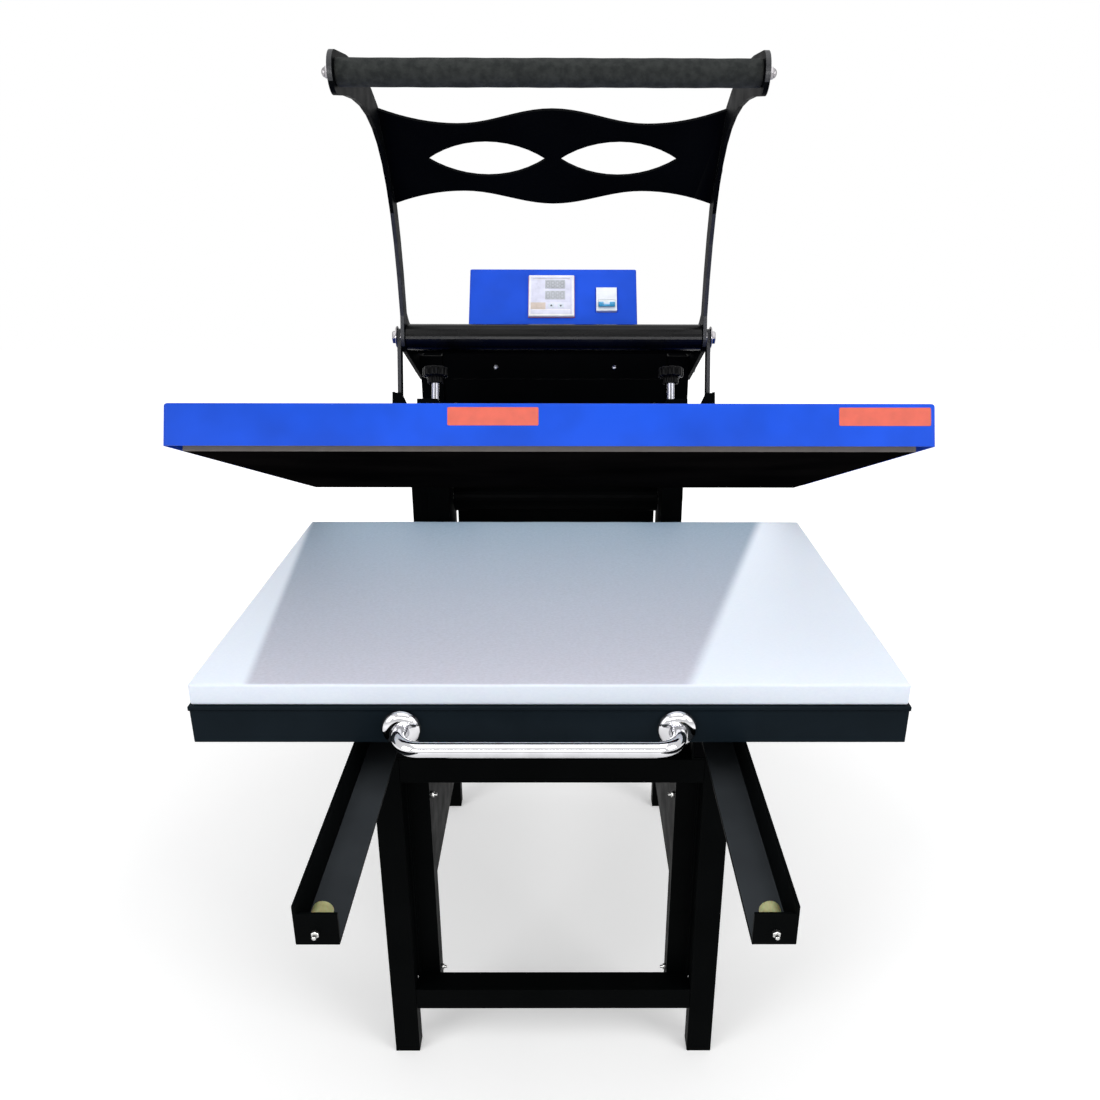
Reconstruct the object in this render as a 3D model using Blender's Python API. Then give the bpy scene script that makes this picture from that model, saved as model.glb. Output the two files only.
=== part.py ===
# A clamshell heat press on a stand, modelled in metres, +Z up.
# X runs to the operator's right, Y to the back, Z up from the floor.
# The sizes below count Y from the front edge of the pad, with the drawer a little way out.
# The finished press stands with its origin on the floor under the middle of its overall box.
# The press is open: the upper platen is tilted up and the lever stands behind it.

from math import acos, atan2, cos, degrees, hypot, pi, radians, sin

import bmesh
import bpy
from mathutils import Matrix, Vector

# Clearances and shared sheet sizes
GAP = 0.0003
RUN_GAP = 0.0005
OVERRUN = 0.004
EDGE = 0.0012
SHEET = 0.003
SIDES_LEFT_RIGHT = (("L", -1), ("R", 1))

# Pad and drawer
PAD_WIDTH = 0.900
PAD_DEPTH = 0.600
PAD_THICK = 0.030
PAD_OVER_LEGS = 0.201
PAD_CORNER = 0.004
BED_OVERHANG = 0.003
BED_PLATE_LIP = 0.0015
BED_PLATE_THICK = 0.006
BED_FRAME_HEIGHT = 0.047
BED_RIM = 0.012
BED_RUNNER_WIDTH = 0.030

# Drawer handle
HANDLE_SPAN = 0.347
HANDLE_SHIFT = -0.0135
HANDLE_TUBE_RADIUS = 0.010
HANDLE_REACH = 0.048
HANDLE_BEND = 0.030
HANDLE_UNDER_PAD = 0.0607
FLANGE_RADIUS = 0.025
FLANGE_THICK = 0.010

# Drawer rails, wheels and end stops
RAIL_OUTER_X = 0.253
RAIL_WIDTH = 0.045
RAIL_WALL = 0.004
RAIL_WALL_HEIGHT = 0.049
RAIL_END_HEIGHT = 0.039
RAIL_FRONT_Y = -0.278
RAIL_BEFORE_MAST = 0.045
WHEEL_RADIUS = 0.020
WHEEL_WIDTH = 0.016
WHEEL_X = 0.230
WHEEL_GROOVE = 0.002
WHEEL_CLEARANCE = 0.0009
WHEEL_FRONT_Y = 0.190
WHEEL_REAR_INSET = 0.150
AXLE_RADIUS = 0.006
AXLE_HEAD_RADIUS = 0.009
AXLE_HEAD_THICK = 0.003
BRACKET_THICK = 0.005
BRACKET_LENGTH = 0.050
BRACKET_FLANGE = 0.024
BUMPER_RADIUS = 0.011
BUMPER_LENGTH = 0.025
BUMPER_OVER_FLOOR = 0.0045

# Stand
LEG_X = 0.263
LEG_WIDTH = 0.040
LEG_DEPTH = 0.028
LEG_WALL = 0.002
LEG_FRONT_Y = 0.133
STAND_BEHIND_MAST = 0.013
LEG_HEIGHT = 0.574
LOWER_RAIL_DEPTH = 0.037
LOWER_RAIL_BOTTOM = 0.094
RAIL_TUBE_HEIGHT = 0.040
SIDE_PANEL_WIDTH = 0.035
SIDE_PANEL_POST = 0.032
SIDE_PANEL_LAP = 0.014
SIDE_PANEL_FOOT = 0.100
SIDE_PANEL_DEEP_BOTTOM = 0.314
BEAM_WIDTH = 0.060
APRON_OVER_LEGS = 0.161

# Mast
MAST_X = 0.246
MAST_WIDTH = 0.040
MAST_BEHIND_PAD = 0.085
MAST_DEPTH = 0.115
MAST_TOP_OVER_PAD = 0.290
MAST_PANEL_BOTTOM_OVER_PAD = 0.152
MAST_PANEL_HEIGHT = 0.095
MAST_PANEL_FLANGE = 0.022
SHAFT_COVER_HEIGHT = 0.054
SHAFT_COVER_FLANGE = 0.014
LEVER_SHAFT_BEHIND_MAST_FRONT = 0.037
LEVER_SHAFT_OVER_PAD = 0.265
LEVER_SHAFT_RADIUS = 0.012
HINGE_BEHIND_MAST_FRONT = 0.085
HINGE_OVER_PAD = -0.006
HINGE_SHAFT_RADIUS = 0.015
SHAFT_END = 0.010
DUCT_WIDTH = 0.033
DUCT_BEHIND_MAST_FRONT = 0.015
DUCT_DEPTH = 0.048
DUCT_HEIGHT = 0.275
DUCT_WALL = 0.002

# Upper platen, in its closed position
OPEN_ANGLE = radians(21.8)
PRESSED_GAP = 0.0006
PLATEN_FRONT_Y = 0.035
HEATER_THICK = 0.020
HEATER_PROUD = 0.005
HEATER_BOSS_RADIUS = 0.012
COVER_HEIGHT = 0.052
COVER_MARGIN = 0.018
COVER_BACK_MARGIN = 0.014
COVER_SHEET = 0.0015
LIFT_ARM_X = 0.183
LIFT_ARM_WIDTH = 0.030
LIFT_ARM_HEIGHT = 0.040
LIFT_ARM_SEAT = 0.005
LIFT_ARM_PAST_SCREW = 0.085
LIFT_ARM_BACK_LEG = 0.045
TIE_DEPTH = 0.044
TIE_REACH = 0.240
SLEEVE_RADIUS = 0.030
SLEEVE_SIDE_GAP = 0.002

# Pressure screws with their knobs
SCREW_RADIUS = 0.006
SCREW_FOOT_RADIUS = 0.014
SCREW_FOOT_THICK = 0.0035
KNOB_TOP_OVER_ARM = 0.064
KNOB_HEIGHT = 0.016
KNOB_RADIUS = 0.020
KNOB_FLUTE_DEPTH = 0.0022
KNOB_LOBES = 8
KNOB_CONE_HEIGHT = 0.010
KNOB_CONE_RADIUS = 0.010
SCREW_IN_KNOB = 0.018

# Lever and links
LEVER_PIVOT_BEFORE_SHAFT = 0.167
LEVER_PIVOT_OVER_PAD = 0.343
GRIP_BEFORE_SHAFT = 0.537
GRIP_OVER_PAD = 0.700
ARM_THICK = 0.006
ARM_LINK_GAP = 0.0023
ARM_EYE_RADIUS = 0.025
GRIP_EYE_RADIUS = 0.024
ARM_SHANK_WIDTH = 0.032
ARM_SHANK_START = 0.037
ARM_LOWER_EDGE_SHARES = ((0.581, 0.0), (0.905, -0.168))
ARM_UPPER_EDGE_SHARES = ((0.662, 0.112), (1.0, -0.140))
TORQUE_TUBE_RADIUS = 0.0215
GRIP_RADIUS = 0.0157
GRIP_BORE = 0.0125
GRIP_BAR_RADIUS = 0.012
GRIP_BAR_STUD = 0.006
HOOD_SHEET = 0.004
HOOD_END_CLEARANCE = 0.060
HOOD_LIP = 0.014
LINK_THICK = 0.006
LINK_EYE_RADIUS = 0.014
LINK_WIDTH = 0.020
PIVOT_BOLT_RADIUS = 0.008
PIVOT_HEAD_RADIUS = 0.012
PIVOT_HEAD_THICK = 0.009
PIVOT_BOLT_DEPTH = 0.030
LINK_FOOT_BEFORE_SHAFT = 0.270
LINK_FOOT_OVER_PLATE = 0.1108
FORK_INNER_THICK = 0.006
FORK_OUTER_THICK = 0.004
FORK_SIDE_GAP = 0.001
FORK_TOP_OVER_FOOT = 0.031
FORK_TOP_BEHIND_FOOT = 0.024
FORK_WEB_BEFORE_FOOT = 0.0345
FORK_SLANT_WIDTH = 0.009
FORK_SLANT_HEIGHT = 0.0185
FORK_BASE_DEPTH = 0.080
FORK_BASE_THICK = 0.009

# Cross plate of the lever, with its two lens-shaped windows
CROSS_BOTTOM_BEFORE_SHAFT = 0.193
CROSS_BOTTOM_OVER_PAD = 0.555
CROSS_RUN = 0.103
CROSS_TOP_OVER_PAD = 0.680
CROSS_THICK = 0.005
CROSS_DIP_X = 0.136
CROSS_DIP = 0.024
CROSS_RISE = 0.024
LENS_INNER_X = 0.010
LENS_OUTER_X = 0.186
LENS_HEIGHT = 0.060

# Control box
BOX_X = -0.0025
BOX_WIDTH = 0.294
BOX_BEFORE_MAST_FRONT = 0.063
BOX_DEPTH = 0.178
BOX_BOTTOM_OVER_PAD = 0.350
BOX_TOP_OVER_PAD = 0.442
BOX_TOP_FALL = 0.014
PANEL_RUN_BACK = 0.0657
BOX_BRACKET_SHEET = 0.004
BOX_BRACKET_DEPTH = 0.050
BOX_BRACKET_GRIP = 0.080
BOX_BRACKET_TAB = 0.040
BOX_BRACKET_BRIDGE_X = 0.122
METER_X = -0.0053
METER_SIZE = 0.080
METER_UP_PANEL = 0.0587
METER_BEZEL = 0.006
METER_BODY = 0.070
METER_BODY_DEPTH = 0.040
METER_SCREEN_DEPTH = 0.001
METER_SCREEN_MARGIN = 0.007
METER_STRIP_HEIGHT = 0.017
BUTTON_WIDTH = 0.011
BUTTON_HEIGHT = 0.008
BUTTON_PROUD = 0.001
BUTTON_LENGTH = 0.003
BUTTON_TRAVEL = 0.0008
BUTTON_X = (-0.026, -0.0055, 0.011)
BUTTON_UP = -0.0205
BREAKER_X = 0.0911
BREAKER_UP_PANEL = 0.053
BREAKER_WIDTH = 0.036
BREAKER_HEIGHT = 0.045
BREAKER_PROUD = 0.004
BREAKER_DEPTH = 0.040
TOGGLE_UP = -0.0080
TOGGLE_RADIUS = 0.007
TOGGLE_WIDTH = 0.029
TOGGLE_LEVER = 0.012
TOGGLE_LEVER_THICK = 0.004
TOGGLE_REST = radians(38)

# Places that follow from the sizes above
PAD_TOP = LEG_HEIGHT + PAD_OVER_LEGS
BED_TOP = PAD_TOP - PAD_THICK - GAP
BED_BOTTOM = BED_TOP - BED_PLATE_THICK - BED_FRAME_HEIGHT
BED_HALF = PAD_WIDTH / 2 + BED_OVERHANG
BED_FRONT_Y = -BED_OVERHANG
BED_BACK_Y = PAD_DEPTH + BED_OVERHANG
LEG_INNER_X = LEG_X - LEG_WIDTH
MAST_FRONT_Y = PAD_DEPTH + MAST_BEHIND_PAD
MAST_BACK_Y = MAST_FRONT_Y + MAST_DEPTH
STAND_BACK_Y = MAST_BACK_Y + STAND_BEHIND_MAST
LEG_BACK_Y = STAND_BACK_Y - LEG_DEPTH
MIDDLE_Y = (RAIL_FRONT_Y + STAND_BACK_Y) / 2
RAIL_BACK_Y = MAST_FRONT_Y - RAIL_BEFORE_MAST
WHEEL_REAR_Y = PAD_DEPTH - WHEEL_REAR_INSET
BEAM_BOTTOM = LEG_HEIGHT + GAP
BEAM_TOP = BEAM_BOTTOM + BEAM_WIDTH
RAIL_BOTTOM = BEAM_TOP + GAP
RAIL_FLOOR = RAIL_BOTTOM + RAIL_WALL
WHEEL_Z = RAIL_FLOOR + WHEEL_CLEARANCE + WHEEL_RADIUS
MAST_INNER_X = MAST_X - MAST_WIDTH
MAST_BOTTOM = RAIL_BOTTOM
MAST_TOP = PAD_TOP + MAST_TOP_OVER_PAD
DUCT_FRONT_Y = MAST_FRONT_Y + DUCT_BEHIND_MAST_FRONT
M = Vector((0, MAST_FRONT_Y + LEVER_SHAFT_BEHIND_MAST_FRONT, PAD_TOP + LEVER_SHAFT_OVER_PAD))
H = Vector((0, MAST_FRONT_Y + HINGE_BEHIND_MAST_FRONT, PAD_TOP + HINGE_OVER_PAD))
B = Vector((0, M.y - LEVER_PIVOT_BEFORE_SHAFT, PAD_TOP + LEVER_PIVOT_OVER_PAD))
G = Vector((0, M.y - GRIP_BEFORE_SHAFT, PAD_TOP + GRIP_OVER_PAD))
PLATE_BOTTOM = PAD_TOP + PRESSED_GAP
COVER_BOTTOM = PLATE_BOTTOM + HEATER_PROUD
COVER_TOP = COVER_BOTTOM + COVER_HEIGHT
LIFT_BOTTOM = COVER_TOP + LIFT_ARM_SEAT
LIFT_TOP = LIFT_BOTTOM + LIFT_ARM_HEIGHT
PLATE_MIDDLE_Y = PLATEN_FRONT_Y + PAD_DEPTH / 2
LIFT_ARM_FRONT_Y = PLATE_MIDDLE_Y - LIFT_ARM_PAST_SCREW
Q = Vector((0, M.y - LINK_FOOT_BEFORE_SHAFT, PLATE_BOTTOM + LINK_FOOT_OVER_PLATE))
ARM_INNER_X = MAST_X + GAP
ARM_OUTER_X = ARM_INNER_X + ARM_THICK
LINK_INNER_X = ARM_OUTER_X + ARM_LINK_GAP
LINK_OUTER_X = LINK_INNER_X + LINK_THICK
BOX_BOTTOM = PAD_TOP + BOX_BOTTOM_OVER_PAD
BOX_TOP = PAD_TOP + BOX_TOP_OVER_PAD
BOX_FRONT_Y = MAST_FRONT_Y - BOX_BEFORE_MAST_FRONT
BOX_BACK_Y = BOX_FRONT_Y + BOX_DEPTH
PANEL_TOP_Y = BOX_FRONT_Y + PANEL_RUN_BACK
PANEL_RUN = Vector((0, PANEL_RUN_BACK, BOX_TOP - BOX_BOTTOM))
PANEL_LEAN = atan2(PANEL_RUN.y, PANEL_RUN.z)


# Small helpers

def clear_scene():
    for old in list(bpy.data.objects):
        bpy.data.objects.remove(old, do_unlink=True)


def material(name, colour, roughness, metallic=0.0):
    made = bpy.data.materials.new(name)
    made.use_nodes = True
    shader = made.node_tree.nodes["Principled BSDF"]
    shader.inputs["Base Color"].default_value = (*colour, 1.0)
    shader.inputs["Roughness"].default_value = roughness
    shader.inputs["Metallic"].default_value = metallic
    made.diffuse_color = (*colour, 1.0)
    return made


def place_on(axis, u, v, w):
    """A point with u and v across the axis and w along it."""
    if axis == "X":
        return Vector((w, u, v))
    if axis == "Y":
        return Vector((u, w, v))
    return Vector((u, v, w))


def make(name, bm, mat, origin=(0, 0, 0), parent=None, smooth=True):
    """Turns a bmesh into a named object whose origin sits at the given point."""
    bmesh.ops.recalc_face_normals(bm, faces=bm.faces)
    bmesh.ops.translate(bm, verts=bm.verts, vec=-Vector(origin))
    mesh = bpy.data.meshes.new(name)
    bm.to_mesh(mesh)
    bm.free()
    mesh.materials.append(mat)
    if smooth:
        mesh.shade_smooth()
        mesh.set_sharp_from_angle(angle=radians(35))
    obj = bpy.data.objects.new(name, mesh)
    bpy.context.collection.objects.link(obj)
    obj.location = origin
    if parent:
        obj.parent = parent
        obj.location = Vector(origin) - Vector(parent["home"])
    return obj


def box(x0, x1, y0, y1, z0, z1, edge=0.0):
    bm = bmesh.new()
    bmesh.ops.create_cube(bm, size=1)
    bmesh.ops.scale(bm, vec=(x1 - x0, y1 - y0, z1 - z0), verts=bm.verts)
    bmesh.ops.translate(bm, vec=((x0 + x1) / 2, (y0 + y1) / 2, (z0 + z1) / 2), verts=bm.verts)
    if edge:
        bmesh.ops.bevel(bm, geom=bm.edges[:], offset=edge, segments=1, affect="EDGES")
    return bm


def side_box(side, inner, outer, y0, y1, z0, z1, edge=0.0):
    """A box between two distances from the middle, on the side -1 or 1."""
    low, high = sorted((side * inner, side * outer))
    return box(low, high, y0, y1, z0, z1, edge)


def prism(points, axis, low, high):
    """An outline extruded along an axis: (y, z) for X, (x, z) for Y, (x, y) for Z."""
    bm = bmesh.new()
    verts = [bm.verts.new(place_on(axis, u, v, low)) for u, v in points]
    face = bm.faces.new(verts)
    grown = bmesh.ops.extrude_face_region(bm, geom=[face])
    moved = [item for item in grown["geom"] if isinstance(item, bmesh.types.BMVert)]
    bmesh.ops.translate(bm, verts=moved, vec=place_on(axis, 0, 0, high - low))
    return bm


def side_prism(side, points, inner, outer):
    low, high = sorted((side * inner, side * outer))
    return prism(points, "X", low, high)


def pipe(outline, inside, axis, low, high):
    """A tube with open ends, between two outlines that have as many points."""
    bm = bmesh.new()
    rings = []
    for points in (outline, inside):
        for end in (low, high):
            rings.append([bm.verts.new(place_on(axis, u, v, end)) for u, v in points])
    out_low, out_high, in_low, in_high = rings
    count = len(outline)
    for first, second in ((out_low, out_high), (in_high, in_low), (in_low, out_low), (out_high, in_high)):
        for i in range(count):
            j = (i + 1) % count
            bm.faces.new((first[i], first[j], second[j], second[i]))
    return bm


def rectangle(u0, u1, v0, v1):
    return [(u0, v0), (u1, v0), (u1, v1), (u0, v1)]


def square_tube(axis, u0, u1, v0, v1, low, high, wall):
    return pipe(rectangle(u0, u1, v0, v1), rectangle(u0 + wall, u1 - wall, v0 + wall, v1 - wall),
                axis, low, high)


def arc(u, v, radius, start, end, steps):
    """Points round (u, v) from one angle to another, in degrees."""
    turn = [radians(start + (end - start) * i / steps) for i in range(steps + 1)]
    return [(u + radius * cos(a), v + radius * sin(a)) for a in turn]


def circle(u, v, radius, steps):
    return arc(u, v, radius, 0, 360, steps)[:-1]


def bezier(start, first, second, end, steps):
    """Inner points of a cubic curve, with its start and without its end."""
    points = []
    for i in range(steps):
        t = i / steps
        s = 1 - t
        weights = (s ** 3, 3 * s * s * t, 3 * s * t * t, t ** 3)
        points.append(tuple(sum(w * p[k] for w, p in zip(weights, (start, first, second, end)))
                            for k in range(2)))
    return points


def rod(radius, axis, u, v, low, high, steps=24):
    return prism(circle(u, v, radius, steps), axis, low, high)


def turned(profile, axis, u, v, steps=32):
    """A turned solid: (radius, place along the axis) pairs from one end to the other."""
    bm = bmesh.new()
    rings = [[bm.verts.new(place_on(axis, u + r * cos(2 * pi * i / steps), v + r * sin(2 * pi * i / steps), w))
              for i in range(steps)] for r, w in profile]
    for first, second in zip(rings, rings[1:]):
        for i in range(steps):
            j = (i + 1) % steps
            bm.faces.new((first[i], first[j], second[j], second[i]))
    bm.faces.new(rings[0])
    bm.faces.new(rings[-1])
    return bm


def turned_ring(profile, axis, u, v, steps=32):
    """A turned ring: the profile's (radius, place) pairs close on themselves."""
    bm = bmesh.new()
    rings = [[bm.verts.new(place_on(axis, u + r * cos(2 * pi * i / steps), v + r * sin(2 * pi * i / steps), w))
              for i in range(steps)] for r, w in profile]
    for first, second in zip(rings, rings[1:] + rings[:1]):
        for i in range(steps):
            j = (i + 1) % steps
            bm.faces.new((first[i], first[j], second[j], second[i]))
    return bm


def boolean(bm, tool, operation):
    """Joins the tool to a solid, or cuts it away, and gives back the result."""
    pieces = []
    for label, part in (("work", bm), ("tool", tool)):
        bmesh.ops.recalc_face_normals(part, faces=part.faces)
        mesh = bpy.data.meshes.new(label)
        part.to_mesh(mesh)
        part.free()
        obj = bpy.data.objects.new(label, mesh)
        bpy.context.collection.objects.link(obj)
        pieces.append(obj)
    work, helper = pieces
    modifier = work.modifiers.new("boolean", "BOOLEAN")
    modifier.operation = operation
    modifier.object = helper
    bpy.context.view_layer.update()
    result = bmesh.new()
    result.from_mesh(work.evaluated_get(bpy.context.evaluated_depsgraph_get()).to_mesh())
    for obj in pieces:
        mesh = obj.data
        bpy.data.objects.remove(obj)
        bpy.data.meshes.remove(mesh)
    return result


def cut(bm, tool):
    return boolean(bm, tool, "DIFFERENCE")


def fuse(bm, tool):
    return boolean(bm, tool, "UNION")


def turn_about(bm, centre, angle, axis="X"):
    bmesh.ops.rotate(bm, cent=centre, matrix=Matrix.Rotation(angle, 3, axis), verts=bm.verts)
    return bm


def opened(point):
    """Where a point of the closed platen is when the press stands open."""
    return H + Matrix.Rotation(-OPEN_ANGLE, 3, "X") @ (point - H)


# Materials
clear_scene()
BLACK_STEEL = material("black_powder_coat", (0.012, 0.012, 0.013), 0.45)
BLUE_STEEL = material("blue_powder_coat", (0.030, 0.105, 0.800), 0.35)
ZINC = material("zinc_steel", (0.62, 0.62, 0.60), 0.35, 1.0)
CHROME = material("chrome", (0.80, 0.80, 0.82), 0.08, 1.0)
HEATER = material("coated_aluminium", (0.050, 0.048, 0.046), 0.3, 0.5)
SILICONE = material("white_silicone", (0.80, 0.82, 0.85), 0.55)
URETHANE = material("amber_urethane", (0.42, 0.36, 0.16), 0.35)
NYLON = material("wheel_nylon", (0.55, 0.55, 0.50), 0.4)
FOAM = material("grip_foam", (0.015, 0.015, 0.016), 0.9)
KNOB_PLASTIC = material("knob_plastic", (0.012, 0.012, 0.013), 0.35)
METER_PLASTIC = material("meter_plastic", (0.72, 0.72, 0.72), 0.4)
BUTTON_PLASTIC = material("button_plastic", (0.60, 0.66, 0.72), 0.45)
BREAKER_PLASTIC = material("breaker_plastic", (0.80, 0.82, 0.84), 0.4)
TOGGLE_PLASTIC = material("toggle_plastic", (0.03, 0.40, 0.72), 0.4)


# Stand

def stand():
    for label, side in SIDES_LEFT_RIGHT:
        low, high = sorted((side * LEG_INNER_X, side * LEG_X))
        for name, y in (("front_leg_", LEG_FRONT_Y), ("rear_leg_", LEG_BACK_Y)):
            leg = square_tube("Z", low, high, y, y + LEG_DEPTH, 0, LEG_HEIGHT, LEG_WALL)
            make(name + label, leg, BLACK_STEEL, smooth=False)
        low, high = sorted((side * (LEG_X - BEAM_WIDTH), side * LEG_X))
        make("base_beam_" + label, square_tube("Y", low, high, BEAM_BOTTOM, BEAM_TOP, LEG_FRONT_Y,
                                               STAND_BACK_Y, SHEET), BLACK_STEEL, smooth=False)
        side_panel(label, side)
    half = LEG_INNER_X - GAP
    top = LEG_HEIGHT
    for name, y, depth, bottom in (("front_top_rail", LEG_FRONT_Y, LEG_DEPTH, top - RAIL_TUBE_HEIGHT),
                                   ("front_lower_rail", LEG_FRONT_Y, LOWER_RAIL_DEPTH, LOWER_RAIL_BOTTOM)):
        rail = square_tube("X", y, y + depth, bottom, bottom + RAIL_TUBE_HEIGHT, -half, half, LEG_WALL)
        make(name, rail, BLACK_STEEL, smooth=False)
    rear = square_tube("X", LEG_BACK_Y, LEG_BACK_Y + LEG_DEPTH, top - RAIL_TUBE_HEIGHT, top, -half, half,
                       LEG_WALL)
    apron_half = LEG_X - BEAM_WIDTH - GAP
    middle = LEG_BACK_Y + LEG_DEPTH / 2
    apron = box(-apron_half, apron_half, middle - SHEET / 2, middle + SHEET / 2, top - LEG_WALL / 2,
                top + APRON_OVER_LEGS)
    make("rear_top_rail", fuse(rear, apron), BLACK_STEEL, smooth=False)


def side_panel(label, side):
    """A folded pan under each base beam, with a post at its front edge and a lip folded behind the leg."""
    outer = LEG_INNER_X - GAP
    inner = outer - SIDE_PANEL_WIDTH
    front = LEG_FRONT_Y + LOWER_RAIL_DEPTH + GAP
    back = LEG_BACK_Y - GAP
    top = LEG_HEIGHT
    post = front + SIDE_PANEL_POST

    def outline(inset):
        return [(front + inset, SIDE_PANEL_FOOT + inset), (post - inset, SIDE_PANEL_FOOT + inset),
                (post - inset, SIDE_PANEL_DEEP_BOTTOM + inset), (back - inset, SIDE_PANEL_DEEP_BOTTOM + inset),
                (back - inset, top - inset), (front + inset, top - inset)]

    pan = side_prism(side, outline(0), inner, outer)
    pan = cut(pan, side_prism(side, outline(SHEET), inner + SHEET, outer + OVERRUN))
    lip_front = LEG_FRONT_Y + LEG_DEPTH + GAP
    lap = LEG_INNER_X + SIDE_PANEL_LAP
    lip = [(outer - SHEET, front + SHEET / 2), (outer - SHEET, lip_front), (lap, lip_front),
           (lap, lip_front + SHEET), (outer - EDGE, lip_front + SHEET), (outer - EDGE, front + SHEET / 2)]
    pan = fuse(pan, prism([(side * x, y) for x, y in lip], "Z", LOWER_RAIL_BOTTOM + RAIL_TUBE_HEIGHT + GAP,
                          top - SHEET / 2))
    make("side_panel_" + label, pan, BLACK_STEEL, smooth=False)


# Drawer rails with their end stops

def drawer_rails():
    for label, side in SIDES_LEFT_RIGHT:
        inner = RAIL_OUTER_X - RAIL_WIDTH
        angle = [(inner, RAIL_BOTTOM), (RAIL_OUTER_X, RAIL_BOTTOM),
                 (RAIL_OUTER_X, RAIL_BOTTOM + RAIL_WALL_HEIGHT),
                 (RAIL_OUTER_X - RAIL_WALL, RAIL_BOTTOM + RAIL_WALL_HEIGHT),
                 (RAIL_OUTER_X - RAIL_WALL, RAIL_FLOOR), (inner, RAIL_FLOOR)]
        rail = prism([(side * x, z) for x, z in angle], "Y", RAIL_FRONT_Y, RAIL_BACK_Y)
        rail = fuse(rail, side_box(side, inner, RAIL_OUTER_X, RAIL_FRONT_Y, RAIL_FRONT_Y + RAIL_WALL,
                                   RAIL_BOTTOM, RAIL_BOTTOM + RAIL_END_HEIGHT))
        make("drawer_rail_" + label, rail, BLACK_STEEL, smooth=False)
        start = RAIL_FRONT_Y + RAIL_WALL + GAP
        end = start + BUMPER_LENGTH
        middle = RAIL_FLOOR + BUMPER_OVER_FLOOR + BUMPER_RADIUS
        stop = [(BUMPER_RADIUS - EDGE, start), (BUMPER_RADIUS, start + EDGE), (BUMPER_RADIUS, end - EDGE),
                (BUMPER_RADIUS - EDGE, end)]
        make("bumper_" + label, turned(stop, "Y", side * WHEEL_X, middle, 24), URETHANE)


# Drawer: welded bed, pad, wheels and handle

def drawer():
    frame_top = BED_TOP - BED_PLATE_THICK
    half = BED_HALF - BED_PLATE_LIP
    front = BED_FRONT_Y + BED_PLATE_LIP
    back = BED_BACK_Y - BED_PLATE_LIP
    frame = pipe(rectangle(-half, half, front, back),
                 rectangle(-half + BED_RIM, half - BED_RIM, front + BED_RIM, back - BED_RIM),
                 "Z", BED_BOTTOM, frame_top + BED_PLATE_THICK / 2)
    frame = fuse(frame, box(-BED_HALF, BED_HALF, BED_FRONT_Y, BED_BACK_Y, frame_top, BED_TOP))
    runner_outer = WHEEL_X - WHEEL_WIDTH / 2 - BRACKET_THICK
    for label, side in SIDES_LEFT_RIGHT:
        frame = fuse(frame, side_box(side, runner_outer - BED_RUNNER_WIDTH, runner_outer,
                                     front + BED_RIM / 2, back - BED_RIM / 2, BED_BOTTOM,
                                     frame_top + BED_PLATE_THICK / 2))
    make("bed_frame", frame, BLACK_STEEL, smooth=False)
    pad = box(-PAD_WIDTH / 2, PAD_WIDTH / 2, 0, PAD_DEPTH, PAD_TOP - PAD_THICK, PAD_TOP, PAD_CORNER)
    make("silicone_pad", pad, SILICONE)
    for place, y in (("front", WHEEL_FRONT_Y), ("rear", WHEEL_REAR_Y)):
        for label, side in SIDES_LEFT_RIGHT:
            wheel_pair("_" + place + "_" + label, side, y)
    grab_handle()


def wheel_pair(ending, side, y):
    """A grooved wheel on the stub axle of an angle bracket under the bed frame."""
    inner = WHEEL_X - WHEEL_WIDTH / 2
    outer = WHEEL_X + WHEEL_WIDTH / 2
    plate_outer = inner - RUN_GAP
    plate_inner = plate_outer - BRACKET_THICK
    top = BED_BOTTOM - GAP
    bracket = side_box(side, plate_inner, plate_outer, y - BRACKET_LENGTH / 2, y + BRACKET_LENGTH / 2,
                       WHEEL_Z - AXLE_RADIUS * 2, top)
    bracket = fuse(bracket, side_box(side, plate_outer - BRACKET_FLANGE, plate_outer, y - BRACKET_LENGTH / 2,
                                     y + BRACKET_LENGTH / 2, top - BRACKET_THICK, top))
    axle = [(AXLE_RADIUS, side * (plate_inner + BRACKET_THICK / 2)), (AXLE_RADIUS, side * (outer + RUN_GAP)),
            (AXLE_HEAD_RADIUS, side * (outer + RUN_GAP)),
            (AXLE_HEAD_RADIUS, side * (outer + RUN_GAP + AXLE_HEAD_THICK))]
    bracket = fuse(bracket, turned(axle, "X", y, WHEEL_Z, 20))
    make("wheel_bracket" + ending, bracket, BLACK_STEEL)
    bore = AXLE_RADIUS + GAP
    tread = [(bore, inner), (WHEEL_RADIUS - EDGE, inner), (WHEEL_RADIUS, inner + EDGE),
             (WHEEL_RADIUS, WHEEL_X - WHEEL_GROOVE), (WHEEL_RADIUS - WHEEL_GROOVE, WHEEL_X),
             (WHEEL_RADIUS, WHEEL_X + WHEEL_GROOVE), (WHEEL_RADIUS, outer - EDGE), (WHEEL_RADIUS - EDGE, outer),
             (bore, outer)]
    wheel = turned_ring([(r, side * x) for r, x in tread], "X", y, WHEEL_Z, 28)
    make("wheel" + ending, wheel, NYLON, origin=(side * WHEEL_X, y, WHEEL_Z))


def handle_route(x, z, wall_y):
    """The middle line of the tube: out of one flange, across, and back into the other."""
    half = HANDLE_SPAN / 2
    front = wall_y - HANDLE_REACH
    bend = HANDLE_BEND
    left = [(x - half + bend - bend * cos(a), front + bend - bend * sin(a))
            for a in [pi / 2 * i / 6 for i in range(7)]]
    right = [(2 * x - u, v) for u, v in reversed(left)]
    run = [(x - half, wall_y - FLANGE_THICK / 2)] + left + right + [(x + half, wall_y - FLANGE_THICK / 2)]
    return [Vector((u, v, z)) for u, v in run]


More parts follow.
